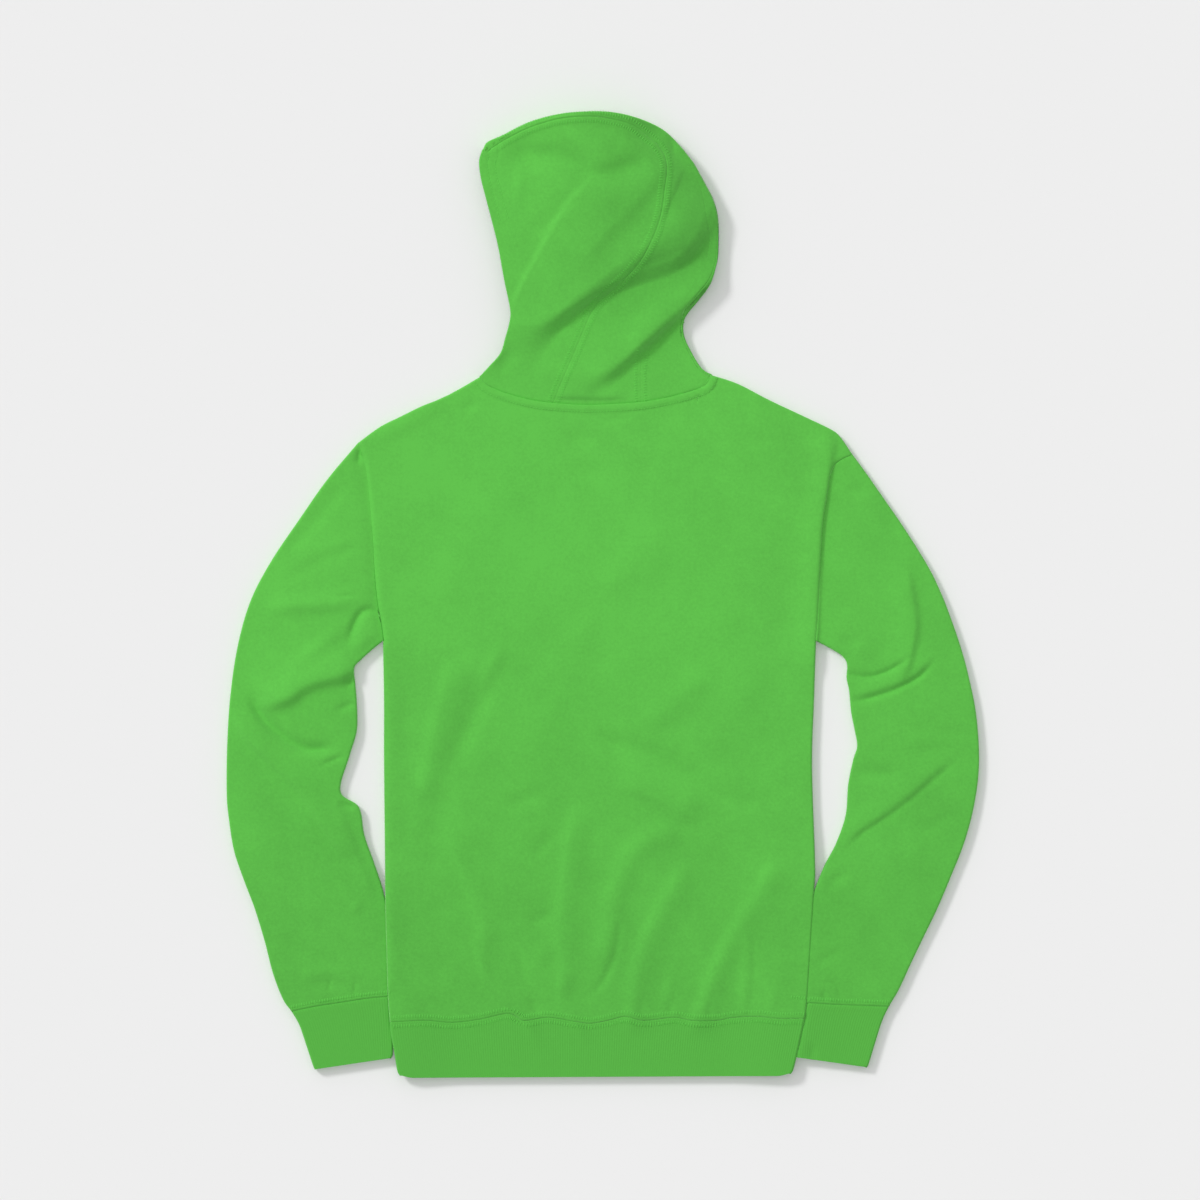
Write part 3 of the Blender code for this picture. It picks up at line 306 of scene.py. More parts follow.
SLEEVE_FOLDS = [
    (8, 8, -1.2, (348, 480), (321, 515), (280, 562)),
    (6, 6, 0.5, (366, 536), (321, 550), (300, 562)),
    (6, 6, -0.6, (366, 545), (322, 560), (279, 584)),
    (8, 9, 2.8, (362, 601), (320, 604), (262, 608)),
    (2, 2, -1.0, (362, 595), (329, 597)),
    (3, 3, -2.2, (361, 446), (357, 468)),
    (5, 4, -3.2, (386, 626), (377, 614), (367, 610), (357, 619), (345, 650)),
    (6, 9, 1.6, (380, 628), (364, 640), (352, 656)),
    (8, 20, 6.5, (366, 662), (340, 674), (319, 679), (300, 687), (286, 697), (256, 706)),
    (8, 8, 1.5, (349, 618), (325, 642), (284, 676)),
    (5, 5, -2.0, (354, 670), (346, 692)),
    (4, 4, -1.6, (358, 701), (333, 712)),
    (14, 4, 2.8, (230, 708), (247, 735), (272, 760), (299, 787), (323, 822), (352, 864)),
    (7, 5, -4.6, (247, 690), (262, 718), (285, 738), (308, 749), (342, 747)),
    (3, 3, -1.5, (348, 754), (317, 767)),
    (4, 4, -2.0, (358, 809), (335, 802)),
    (5, 14, 1.5, (334, 799), (347, 835), (361, 870), (376, 906)),
    (5, 5, 1.0, (362, 898), (351, 915)),
    (8, 8, -1.2, (274, 932), (320, 957), (354, 977)),
    (7, 8, 1.2, (362, 992), (344, 975), (320, 972), (291, 986)),
    (2.5, 2.5, -0.9, (331, 974), (329, 994)),
    (2.5, 2.5, -0.9, (355, 979), (355, 997)),
    ARMHOLE_RIDGE,
    (6, 6, -1.0, (874, 490), (843, 490)),
    (8, 8, -1.2, (876, 507), (912, 561)),
    (5, 20, 3.2, (903, 562), (911, 600), (913.5, 626), (910, 650), (904, 670), (892, 685)),
    (5, 5, -1.2, (865, 644), (838, 637)),
    (3, 3, -2.5, (914, 654), (903, 662), (888, 671), (870, 676.5), (854, 675), (838, 670)),
    (4, 12, 1.8, (936, 650), (920, 668), (902, 679.5), (878, 688), (860, 693), (842, 695)),
    (3, 4, -2.0, (937, 657), (921, 675), (902, 686.5), (880, 695), (862, 699.5), (844, 701)),
    (6, 6, -0.7, (981, 738), (939, 731), (893, 725)),
    (5, 5, -0.5, (958, 746), (890, 755)),
    (9, 9, -2.4, (905, 775), (846, 772)),
    (5, 16, 2.1, (957, 753), (933, 772), (904, 797), (875, 818), (857, 830), (840, 849)),
    (4, 4, -1.0, (959, 758), (937, 775), (907, 801), (878, 822), (860, 834), (845, 853)),
    (8, 8, -1.2, (961, 811), (912, 836)),
    (34, 6, 2.4, (822, 850), (812, 890), (806, 940), (800, 990), (793, 1060), (790, 1100)),
    (4, 4, -1.3, (813, 1040), (811, 1064)),
    (6, 6, -1.4, (853, 870), (834, 881), (826, 893)),
    (5, 5, -0.9, (849, 947), (828, 957), (809, 971)),
    (2.5, 2.5, -0.9, (820, 978), (837, 987), (842, 1003)),
    (2.5, 2.5, -0.8, (823, 988), (825, 1003)),
]
HOOD_FOLDS = [
    (30, 4, 2.2, (600, 172), (588, 187), (572, 203), (557, 226), (539, 258), (523, 288), (511, 318)),
    (4, 12, -0.8, (586, 190), (566, 208), (545, 226), (526, 238)),
    (7, 2.5, 1.6, (640, 124), (612, 116), (588, 115), (545, 122), (497, 141)),
    (14, 11, -4.4, (656, 158), (632, 167), (608, 175), (590, 173), (574, 163), (556, 157), (532, 156),
     (500, 151)),
    (11, 44, 3.2, (676, 146), (656, 172), (638, 196), (618, 218), (594, 244), (572, 274)),
    (13, 26, 4.0, (726, 196), (712, 220), (696, 238), (676, 245), (656, 250), (638, 262), (612, 278)),
    (7, 16, 4.0, (728, 262), (704, 286), (684, 303), (664, 320), (644, 338), (620, 360)),
    (10, 10, -1.6, (664, 244), (644, 266), (612, 286)),
    (4, 24, 1.8, (720, 264), (686, 304), (662, 326), (640, 346), (616, 367), (598, 382)),
    (8, 20, 1.2, (630, 346), (604, 374), (572, 397)),
    (5, 6, 0.8, (521, 154), (520, 190), (517, 220)),
    (8, 8, -1.6, (514, 342), (506, 362), (498, 382)),
    (16, 4, -1.6, (688, 162), (680, 186), (668, 214), (660, 240)),
    (4, 4, -1.6, (668, 132), (672, 146), (675, 162)),
    (3, 12, 2.2, (634, 396), (600, 397), (570, 396), (545, 394)),
]

# Drops of the hood from one broad level to the next, down to the left hand of each line. Columns:
# height, then x, y and half width of the drop along it.
HOOD_DROPS = [
    (7.6, (790, 140, 10), (730, 196, 10), (711, 221, 10), (703, 237, 9), (693, 251, 8), (680, 263, 8),
     (660, 272, 9), (636, 280, 8), (606, 292, 7), (575, 311, 7), (545, 333, 12), (522, 346, 30),
     (500, 358, 54), (460, 380, 70)),
    (6.0, (790, 90, 26), (730, 160, 28), (700, 210, 26), (676, 240, 20), (652, 258, 14), (624, 273, 10),
     (588, 298, 8), (555, 323, 11), (522, 346, 30), (500, 358, 54), (460, 380, 70)),
    (5.8, (780, 226, 6), (720, 280, 6), (686, 312, 6), (662, 333, 6), (640, 353, 7), (616, 373, 9),
     (590, 393, 13), (560, 415, 18)),
]


def smooth(t):
    t = np.clip(t, 0, 1)
    return t * t * (3 - 2 * t)


def even(line, count):
    """The line again, as evenly spaced points."""
    step = np.r_[0, np.cumsum(np.hypot(*np.diff(line[:, :2], axis=0).T))]
    at = np.linspace(0, step[-1], count)
    return np.stack([np.interp(at, step, line[:, k]) for k in range(line.shape[1])], 1)


def curve(rows, count=240):
    """Evenly spaced points along a smooth line through the rows."""
    p = np.array(rows, float)
    p = np.vstack([2 * p[0] - p[1], p, 2 * p[-1] - p[-2]])
    out = []
    for a, b, c, d in zip(p[:-3], p[1:-2], p[2:-1], p[3:]):
        t = np.linspace(0, 1, 16, endpoint=False)[:, None]
        tb = (c - a) / 2
        tc = (d - b) / 2
        out.append(b + t * tb + t * t * (3 * (c - b) - 2 * tb - tc) + t**3 * (2 * (b - c) + tb + tc))
    return even(np.vstack(out + [p[-2][None]]), count)


def along(line, at):
    """Points at these fractions of an evenly spaced line."""
    step = np.linspace(0, 1, len(line))
    return np.stack([np.interp(at, step, line[:, k]) for k in range(line.shape[1])], 1)


def right_hand(line):
    """Unit steps to the right hand of a line, seen from above with y towards the hem."""
    way = np.gradient(line[:, :2], axis=0)
    way /= np.hypot(*way.T)[:, None] + 1e-9
    return np.stack([-way[:, 1], way[:, 0]], 1)


def joined(lines, ends, at):
    """Points at the fractions along several lines in a row, the ends of the lines lying at ends."""
    out = np.zeros((len(at), 2))
    for line, low, high in zip(lines, ends[:-1], ends[1:]):
        here = (at >= low - 1e-9) & (at <= high + 1e-9)
        out[here] = along(line, (at[here] - low) / (high - low))
    return out


def spaced(values, least):
    """The values in order, without those nearer than least to the one before. Both ends stay."""
    out = []
    for value in np.sort(values):
        if not out or value - out[-1] > least:
            out.append(value)
    out[-1] = max(values)
    return np.array(out)


def graded(length, fine, coarse, reach=12.0):
    """Fractions of a length for cells that are fine at both ends and coarse in the middle."""
    s = np.linspace(0, length, 4001)
    cell = fine + (coarse - fine) * smooth(np.minimum(s, length - s) / reach)
    count = np.r_[0, np.cumsum((1 / cell[1:] + 1 / cell[:-1]) / 2)] * (s[1] - s[0])
    middle = np.interp(np.linspace(0, count[-1], int(count[-1]) + 2), count, s)
    return spaced(np.concatenate([middle, EDGE_STEPS, length - EDGE_STEPS]), 0.04) / length


def underside(count):
    """Columns of a tube's under layer, fewer than on top and in the opposite order."""
    inner = count - SIDE_COLUMNS
    return np.r_[1:SIDE_COLUMNS, SIDE_COLUMNS:inner:UNDER_EVERY, inner:count - 1][::-1]


def patch(top, bottom, left, right, us, vs):
    """Grid of points, rows from top to bottom, filling the four edges given."""
    u = us[None, :, None]
    v = vs[:, None, None]
    sides = (1 - v) * top[None] + v * bottom[None] + (1 - u) * left[:, None] + u * right[:, None]
    corners = ((1 - u) * (1 - v) * top[0] + u * (1 - v) * top[-1]
               + (1 - u) * v * bottom[0] + u * v * bottom[-1])
    return sides - corners


def away(xy, lines):
    """Distance of each point from the nearest of the lines."""
    flat = xy.reshape(-1, 2)
    best = np.full(len(flat), 1e9)
    for line in lines:
        line = line[:: max(1, len(line) // 120)] if len(line) > 240 else line
        for start in range(0, len(flat), 4000):
            part = flat[start:start + 4000]
            a = line[:-1]
            b = line[1:] - a
            rel = part[:, None] - a[None]
            t = np.clip((rel * b[None]).sum(2) / ((b**2).sum(1) + 1e-12)[None], 0, 1)
            gap = rel - t[..., None] * b[None]
            gap = np.sqrt((gap**2).sum(2).min(1))
            best[start:start + 4000] = np.minimum(best[start:start + 4000], gap)
    return best.reshape(xy.shape[:-1])


def folded(xy, table):
    """Sum of the folds' heights: each dies out at both ends and on both its sides."""
    flat = xy.reshape(-1, 2)
    total = np.zeros(len(flat))
    for left, right, height, *path in table:
        line = curve(path, 10 * len(path))
        last = len(line) - 1
        length = np.hypot(*np.diff(line, axis=0).T).sum()
        way = np.gradient(line, axis=0)
        reach = 3 * max(left, right)
        low, high = line.min(0) - reach, line.max(0) + reach
        here = np.flatnonzero(((flat > low) & (flat < high)).all(1))
        if not len(here):
            continue
        rel = flat[here][:, None] - line[None]
        near = (rel**2).sum(2).argmin(1)
        step = rel[np.arange(len(here)), near]
        run = way[near]
        size = np.hypot(*run.T)
        across = (run[:, 0] * step[:, 1] - run[:, 1] * step[:, 0]) / size
        onward = (run * step).sum(1) / size
        place = np.clip(near + onward / size, 0, last) * length / last
        beyond = np.where((near == 0) | (near == last), onward, 0)
        gap = np.hypot(across, beyond)
        width = np.where(across > 0, right, left)
        fade = smooth(np.minimum(place, length - place) / min(0.45 * length, max(FOLD_END, left, right)))
        total[here] += height * fade * np.exp(-((gap / width) ** 2))
    return total.reshape(xy.shape[:-1])


def dropped(xy, table):
    """Sum of the drops' heights: full on the right hand of each line and none on its left hand."""
    flat = xy.reshape(-1, 2)
    total = np.zeros(len(flat))
    for height, *path in table:
        line = curve(path, 12 * len(path))
        way = np.gradient(line[:, :2], axis=0)
        for start in range(0, len(flat), 8000):
            rel = flat[start:start + 8000][:, None] - line[None, :, :2]
            near = (rel**2).sum(2).argmin(1)
            step = rel[np.arange(len(rel)), near]
            run = way[near]
            across = (run[:, 0] * step[:, 1] - run[:, 1] * step[:, 0]) / np.hypot(*run.T)
            share = np.clip(across / line[near, 2], -1, 1)
            total[start:start + 8000] += height * (0.5 + 0.5 * np.sin(share * np.pi / 2))
    return total.reshape(xy.shape[:-1])


def seamed(xy, rows):
    """Relief along seams: the band that the allowance raises, the groove at the seam itself, and the
    dips that the stitching pulls in. Rows hold line, band height, band width, groove depth, groove
    width, and the distance of each row of stitches."""
    total = np.zeros(xy.shape[:-1])
    for line, band, width, groove, wide, stitches in rows:
        d = away(xy, [line])
        raised = band * (1 - smooth((d - width) / ALLOWANCE_EDGE + 0.5))
        total += raised - groove * np.exp(-((d / wide) ** 2))
        for row in stitches:
            total -= DIP * np.exp(-(((d - row) / DIP_WIDTH) ** 2))
    return total


def level(value, start, length):
    """0 before the start and 1 a length beyond it, with a smooth rise between."""
    return smooth((value - start) / length)


def riding(xy):
    """Share by which the body's sides ride up over the sleeve ends tucked under them."""
    x, y = xy[..., 0], xy[..., 1]
    return level(x, *LEFT_RIDE) * level(y, *LEFT_FROM) + level(x, *RIGHT_RIDE) * level(y, *RIGHT_FROM)


def tucked(xy):
    """Share by which a sleeve end is under the body, by way of the body's sides."""
    x, y = xy[..., 0], xy[..., 1]
    lean = TUCK_LEAN * np.clip(y - BAND_TOP, 0, 60)
    slant = SIDE_LEAN * np.clip(BAND_TOP - y, 0, 250)
    left = level(x - lean, *LEFT_EDGE) * level(y, *LEFT_FROM) * (x < MID_X)
    right = level(x - slant + lean, *RIGHT_EDGE) * level(y, *RIGHT_FROM) * (x > MID_X)
    return left + right


def layer(xy, base, relief, side, rolled, wall, raised=0.0):
    """Height of the middle of the wall of the upper (side 1) or lower (side -1) layer.
    Both layers meet at half height along the rolled edges, and only the upper one has relief."""
    half = (base - wall) / 2
    d = np.clip(away(xy, rolled) / ROLL, 0, 1)
    turn = (1 - (1 - d) ** ROLL_SQUARE) ** (1 / ROLL_SQUARE)
    if side > 0:
        return wall / 2 + half + np.maximum((half + relief) * turn, SEAM) + raised
    return wall / 2 + half - np.maximum(half * turn, SEAM) + raised


def xyz(xy, z):
    return np.concatenate([xy, z[..., None]], -1)


def grid_normals(m, curls, closed):
    """Unit normals of a grid of points. curls tells which edge points turn on under the piece."""
    def change(a, axis, first=None, last=None):
        a = np.moveaxis(a, axis, 0)
        before = 2 * a[:1] - a[1:2]
        after = 2 * a[-1:] - a[-2:-1]
        for mask, ghost, near in ((first, before, a[1:2]), (last, after, a[-2:-1])):
            if mask is not None:
                ghost[..., :2] = np.where(mask[None, :, None], near[..., :2], ghost[..., :2])
        steps = np.diff(np.concatenate([before, a, after]), axis=0)
        steps /= np.linalg.norm(steps, axis=-1, keepdims=True) + 1e-9
        return np.moveaxis(steps[1:] + steps[:-1], 0, axis)

    if closed:
        ring = np.concatenate([m[:, -1:], m, m[:, :1]], 1)
        du = change(ring, 1)[:, 1:-1]
    else:
        du = change(m, 1, curls.get("left"), curls.get("right"))
    dv = change(m, 0, curls.get("top"), curls.get("bottom"))
    n = np.cross(du, dv)
    return n / (np.linalg.norm(n, axis=-1, keepdims=True) + 1e-9)


def shell(name, mid, wall, finish, closed=False, curls=None, up=1, grain=None):
    """A closed cloth shell of the wall thickness about a grid of middle points. grain gives the
    place of each point on the flat cut, in millimetres, for the knit to follow."""
    n = grid_normals(mid, curls or {}, closed)
    if closed:
        n *= np.sign(((mid - mid.mean(1, keepdims=True)) * n).sum())
    else:
        n *= up
    rows, cols = mid.shape[:2]
    points = np.concatenate([(mid + n * wall / 2).reshape(-1, 3), (mid - n * wall / 2).reshape(-1, 3)])
    index = np.arange(rows * cols).reshape(rows, cols)
    if grain is None:
        grain = mid[..., :2]
    if closed:
        index = np.concatenate([index, index[:, :1]], 1)
        grain = np.concatenate([grain, grain[:, -1:] + (grain[:, -1:] - grain[:, -2:-1])], 1)
    far = index + rows * cols
    place = np.arange(grain.shape[0] * grain.shape[1]).reshape(grain.shape[:2])

    def quads(i):
        return np.stack([i[:-1, :-1], i[:-1, 1:], i[1:, 1:], i[1:, :-1]], -1).reshape(-1, 4)

    faces = [quads(index), quads(far)[:, ::-1]]
    spots = [quads(place), quads(place)[:, ::-1]]
    edges = [(0, 1), (-1, -1)]
    for row, turn in edges:
        rim = np.stack([index[row, 1:], index[row, :-1], far[row, :-1], far[row, 1:]], -1)
        spot = np.stack([place[row, 1:], place[row, :-1], place[row, :-1], place[row, 1:]], -1)
        faces.append(rim[:, ::turn])
        spots.append(spot[:, ::turn])
    if not closed:
        for col, turn in edges:
            rim = np.stack([index[:-1, col], index[1:, col], far[1:, col], far[:-1, col]], -1)
            spot = np.stack([place[:-1, col], place[1:, col], place[1:, col], place[:-1, col]], -1)
            faces.append(rim[:, ::turn])
            spots.append(spot[:, ::turn])
    faces = np.concatenate(faces)
    spots = np.concatenate(spots)
    at = np.stack([points[:, 0] - MID_X, MID_Y - points[:, 1], np.maximum(points[:, 2], 0)], 1) * MM
    a, b, c, d = (at[faces[:, k]] for k in range(4))
    if (np.cross(a, b) * c).sum() + (np.cross(a, c) * d).sum() < 0:
        faces = faces[:, ::-1]
        spots = spots[:, ::-1]
    obj = smooth_object(name, at.tolist(), faces.tolist(), finish)
    cut = grain.reshape(-1, 2)[spots.reshape(-1)] * MM
    obj.data.uv_layers.new(name="cut").data.foreach_set("uv", np.ascontiguousarray(cut).ravel())
    return obj


def smooth_object(name, points, faces, finish):
    """A smooth-shaded mesh object of these points and faces, in the scene."""
    mesh = bpy.data.meshes.new(name)
    mesh.from_pydata(points, [], faces)
    mesh.polygons.foreach_set("use_smooth", [True] * len(faces))
    mesh.materials.append(finish)
    mesh.update()
    obj = bpy.data.objects.new(name, mesh)
    bpy.context.scene.collection.objects.link(obj)
    return obj


def outlines(wall):
    """Rolled edges of the garment, the middle of the wall lying half a wall inside the outline."""
    edges = {
        "shoulder_left": (SHOULDER_LEFT, 1), "shoulder_right": (SHOULDER_RIGHT, 1),
        "side_left": (SIDE_LEFT, -1), "side_right": (SIDE_RIGHT, 1),
        "crown": (CROWN_EDGE, 1), "back": (BACK_EDGE, 1), "opening": (OPENING, -1),
    }
    for side, rows, way in (("left", SLEEVE_LEFT, -1), ("right", SLEEVE_RIGHT, 1)):
        edges["outer_" + side] = ([row[:2] for row in rows], way)
        edges["inner_" + side] = ([row[2:4] for row in rows], -way)
    lines = {name: curve(rows) for name, (rows, way) in edges.items()}
    for name, (rows, way) in edges.items():
        lines[name] += way * wall / 2 * right_hand(lines[name])
    for side, rows, end in (("left", ARMHOLE_LEFT, 0), ("right", ARMHOLE_RIGHT, -1)):
        line = curve(rows)
        t = np.linspace(0, 1, len(line))[:, None]
        start = lines["shoulder_" + side][end] - line[0]
        finish = lines["side_" + side][0] - line[-1]
        lines["arm_" + side] = line + start * (1 - t) + finish * t
    return lines


def body_layer(xy, relief, side, rolled, wall):
    """Height of one layer of the body, over the floor or over the tucked sleeve ends."""
    over = riding(xy)
    base = BODY_STACK - TUCK_PRESS * over
    return layer(xy, base, relief, side, rolled, wall, (TUCK_LIFT + TUCK_PRESS) * over)


def hem_points(x, side):
    """The hem seam: wavy where the back is gathered, straight on the front."""
    line = curve(HEM, 400) if side > 0 else np.array([HEM[0], HEM[-1]], float)
    return np.stack([x, np.interp(x, line[:, 0], line[:, 1])], 1)


def body_panel(name, side, finish, wall, cell):
    lines = outlines(wall)
    left, right = lines["shoulder_left"], lines["shoulder_right"]
    us = graded(right[-1, 0] - left[0, 0], FINE, cell)
    for corner in (left[-1, 0], right[0, 0]):
        close = corner + SHOULDER_CELLS
        us = spaced(np.r_[us, (close - left[0, 0]) / (right[-1, 0] - left[0, 0])], 0.0006)
    vs = graded(BODY_DEPTH, FINE, cell)
    x = left[0, 0] + us * (right[-1, 0] - left[0, 0])
    neck = curve(NECK_BACK if side > 0 else NECK_FRONT)
    whole = np.vstack([left, neck[1:-1], right])
    whole = whole[np.r_[True, np.diff(whole[:, 0]) > 0]]
    top = np.stack([x, np.interp(x, whole[:, 0], whole[:, 1])], 1)
    over = (x < left[-1, 0]) | (x > right[0, 0])
    ends = (0, ARM_AT, 1)
    west = joined([lines["arm_left"] + (SEAM, 0), lines["side_left"]], ends, vs)
    east = joined([lines["arm_right"] - (SEAM, 0), lines["side_right"]], ends, vs)
    low = HEM[0][0] + wall / 2
    high = HEM[-1][0] - wall / 2
    bottom = hem_points(low + us * (high - low), side) - (0, SEAM)
    west[0], east[0], west[-1], east[-1] = top[0], top[-1], bottom[0], bottom[-1]
    xy = patch(top, bottom, west, east, us, vs)
    rolled = [lines[k] for k in ("shoulder_left", "shoulder_right", "side_left", "side_right")]
    rolled += [lines[k][:60] for k in ("outer_left", "outer_right", "inner_left", "inner_right")]
    relief = 0
    if side > 0:
        relief = folded(xy, BODY_FOLDS) + seamed(xy, [
            (lines["arm_left"], 0.0, 6.0, 1.6, 2.2, ()),
            (lines["arm_right"], 0.0, 6.0, 0.7, 1.2, ()),
            (neck, 1.1, NECK_BAND, 0.5, 1.2, (NECK_BAND,)),
            (curve(HEM, 400), 0.5, 4.5, 0.7, 1.2, (3.0,)),
        ])
    z = body_layer(xy, relief, side, rolled, wall)
    beside = vs > ARM_AT - 1e-6
    curls = {"left": beside, "right": beside, "top": over}
    return shell(name, xyz(xy, z), wall, finish, up=side, curls=curls)


def ring_tube(rows, other_rolled, wall, first, last, cell, ends, sewn):
    """Rings of a flattened tube of cloth. first and last are the shapes of the seams at its ends,
    and ends moves its first and last ring."""
    rows = np.array(rows, float)
    outer = curve(rows[:, :2], 400)
    inner = curve(rows[:, 2:4], 400)
    sign = 1 if outer[0, 0] < inner[0, 0] else -1
    outer = outer - sign * wall / 2 * right_hand(outer)
    inner = inner + sign * wall / 2 * right_hand(inner)
    length = np.hypot(*np.diff(outer, axis=0).T).sum()
    width = np.hypot(*(rows[:, :2] - rows[:, 2:4]).T).mean()
    at = graded(length, FINE, cell)
    across = graded(width, FINE, cell)
    stations = np.linspace(0, 1, len(rows))
    so = [np.argmin(np.hypot(*(outer - r).T)) / 399 for r in rows[:, :2]]
    si = [np.argmin(np.hypot(*(inner - r).T)) / 399 for r in rows[:, 2:4]]
    po = along(outer, np.interp(at, stations, so))
    pi = along(inner, np.interp(at, stations, si))
    rise = np.interp(at, stations, rows[:, 4])
    for seam, end in ((first, 0), (last, -1)):
        if seam is not None:
            po[end] = seam[0]
            pi[end] = seam[-1]
    w = across[None, :, None]
    xy = po[:, None] * (1 - w) + pi[:, None] * w
    for seam, blend in ((first, 1 - level(at, *FIRST_BLEND)), (last, level(at, *LAST_BLEND))):
        if seam is not None:
            straight = seam[0] + (seam[-1] - seam[0]) * across[:, None]
            xy += blend[:, None, None] * (along(seam, across) - straight)[None]
    xy[0] += ends[0]
    xy[-1] += ends[1]
    relief = CROWNED * rise[:, None] * np.sin(np.pi * across)[None]
    relief += folded(xy, SLEEVE_FOLDS) + seamed(xy, sewn)
    rolled = [even(xy[:, 0], 200), even(xy[:, -1], 200)] + other_rolled
    under = tucked(xy)
    thick = STACK - TUCK_THIN * under
    relief *= 1 - TUCK_FLAT * under
    upper = layer(xy, thick, relief, 1, rolled, wall)
    lower = layer(xy, thick, 0, -1, rolled, wall)
    for j in (0, -1):
        upper[:, j] = (upper[:, j] + lower[:, j]) / 2
    back = underside(len(across))
    ring = np.concatenate([xyz(xy, upper), xyz(xy[:, back], lower[:, back])], 1)
    round_it = np.r_[across, 2 - across[back]] * width
    grain = np.stack(np.broadcast_arrays(round_it[None], (at * length)[:, None]), -1)
    return ring, grain


def sleeve(name, rows, side, cuff_seam, finish, wall, cell):
    lines = outlines(wall)
    gap = -2 * SEAM if side == "left" else 2 * SEAM
    shared = [lines["shoulder_" + side], lines["side_" + side][:90]]
    sewn = [(lines["arm_" + side], 0.0, 6.0, *ARM_GROOVES[side], ()),
            (curve(cuff_seam), 0.5, 4.5, 1.2, 1.0, (3.0,))]
    ring, grain = ring_tube(rows, shared, wall, lines["arm_" + side], curve(cuff_seam), cell,
                            ((gap, 0), (0, -SEAM)), sewn)
    return shell(name, ring, wall, finish, closed=True, grain=grain)


def cuff(name, rows, cuff_seam, finish, wall, cell):
    sewn = [(curve(cuff_seam), 0.0, 4.5, 1.2, 1.0, ())]
    ring, grain = ring_tube(rows, [], wall, curve(cuff_seam), None, cell, ((0, SEAM), (0, 0)), sewn)
    return shell(name, ring, wall, finish, closed=True, grain=grain)


def waistband(finish, wall, cell):
    low = HEM[0][0] + wall / 2
    high = HEM[-1][0] - wall / 2
    us = graded(high - low, FINE, cell)
    vs = graded(BAND_DEPTH, FINE, cell)
    left = curve(BAND_LEFT)
    left = along(left - wall / 2 * right_hand(left), vs)
    right = curve(BAND_RIGHT)
    right = along(right + wall / 2 * right_hand(right), vs)
    layers = []
    for side in (1, -1):
        top = hem_points(low + us * (high - low), side) + (0, SEAM)
        bottom = left[-1] + (right[-1] - left[-1]) * us[:, None]
        inward = np.clip(np.minimum(us, 1 - us) * (high - low) / BAND_CORNER, 0, 1)
        bottom[:, 1] += BAND_SAG * np.sin(inward * np.pi / 2)
        left[0], right[0] = top[0], top[-1]
        xy = patch(top, bottom, left, right, us, vs)
        relief = 0
        if side > 0:
            below = level(away(xy, [curve(HEM, 400)]), 0, BAND_REACH)
            relief = (1 - BAND_CALM * below) * folded(xy, BODY_FOLDS)
            relief += seamed(xy, [(curve(HEM, 400), 0.3, 4.5, 0.8, 1.2, (3.0,))])
        layers.append(xyz(xy, body_layer(xy, relief, side, [left, right], wall)))
    upper, lower = layers
    for j in (0, -1):
        upper[:, j, 2] = (upper[:, j, 2] + lower[:, j, 2]) / 2
    back = underside(len(us))
    ring = np.concatenate([upper, lower[:, back]], 1)
    round_it = np.r_[us, 2 - us[back]] * (high - low)
    grain = np.stack(np.broadcast_arrays(round_it[None], (vs * BAND_DEPTH)[:, None]), -1)
    return shell("waistband_rib", ring, wall, finish, closed=True, grain=grain)


def hood_top(xy):
    """Height of the hood's upper layer: low along the neck, the opening and the back edge, and full
    between them, where it comes down in three drops."""
    x, y = xy[..., 0], xy[..., 1]
    from_neck = level(y, NECK_LOW, -(NECK_RISE + (BACK_RISE - NECK_RISE) * level(x, *NECK_SPAN)))
    from_opening = OPENING_SHARE + (1 - OPENING_SHARE) * level(x, *OPENING_SPAN)
    inward = away(xy, [curve(CROWN_EDGE[8:]), curve(BACK_EDGE)])
    from_back = BACK_SHARE + (1 - BACK_SHARE) * level(inward, *BACK_SPAN)
    full = dropped(xy, HOOD_DROPS) * from_opening * from_neck * from_back
    folds = folded(xy, HOOD_FOLDS) * level(y, *FOLDS_FROM)
    sewn = seamed(xy, [(curve(line), 0.3 * deep, 6.0, deep, 0.9, ()) for line, deep in HOOD_SEAMS])
    sewn *= 1 - SEAM_FADE * level(y, *SEAM_SPAN)
    neck = seamed(xy, [(curve(NECK_BACK), 0.0, 4.0, 0.6, 1.2, ())])
    hem = seamed(xy, [(curve(OPENING), 0.0, 17.0, 0.0, 1.0, HEM_ROWS)]) * (1 - level(y, *HEM_FADE))
    return STACK + HOOD_LOOSE * from_neck, full + folds + sewn + neck + hem


def neck_parts():
    """The back neck seam in its three lengths, one for each panel of the hood."""
    return [curve([p for p in NECK_BACK if low < p[0] < high])
            for low, high in ((0, 554), (552, 642), (640, 999))]


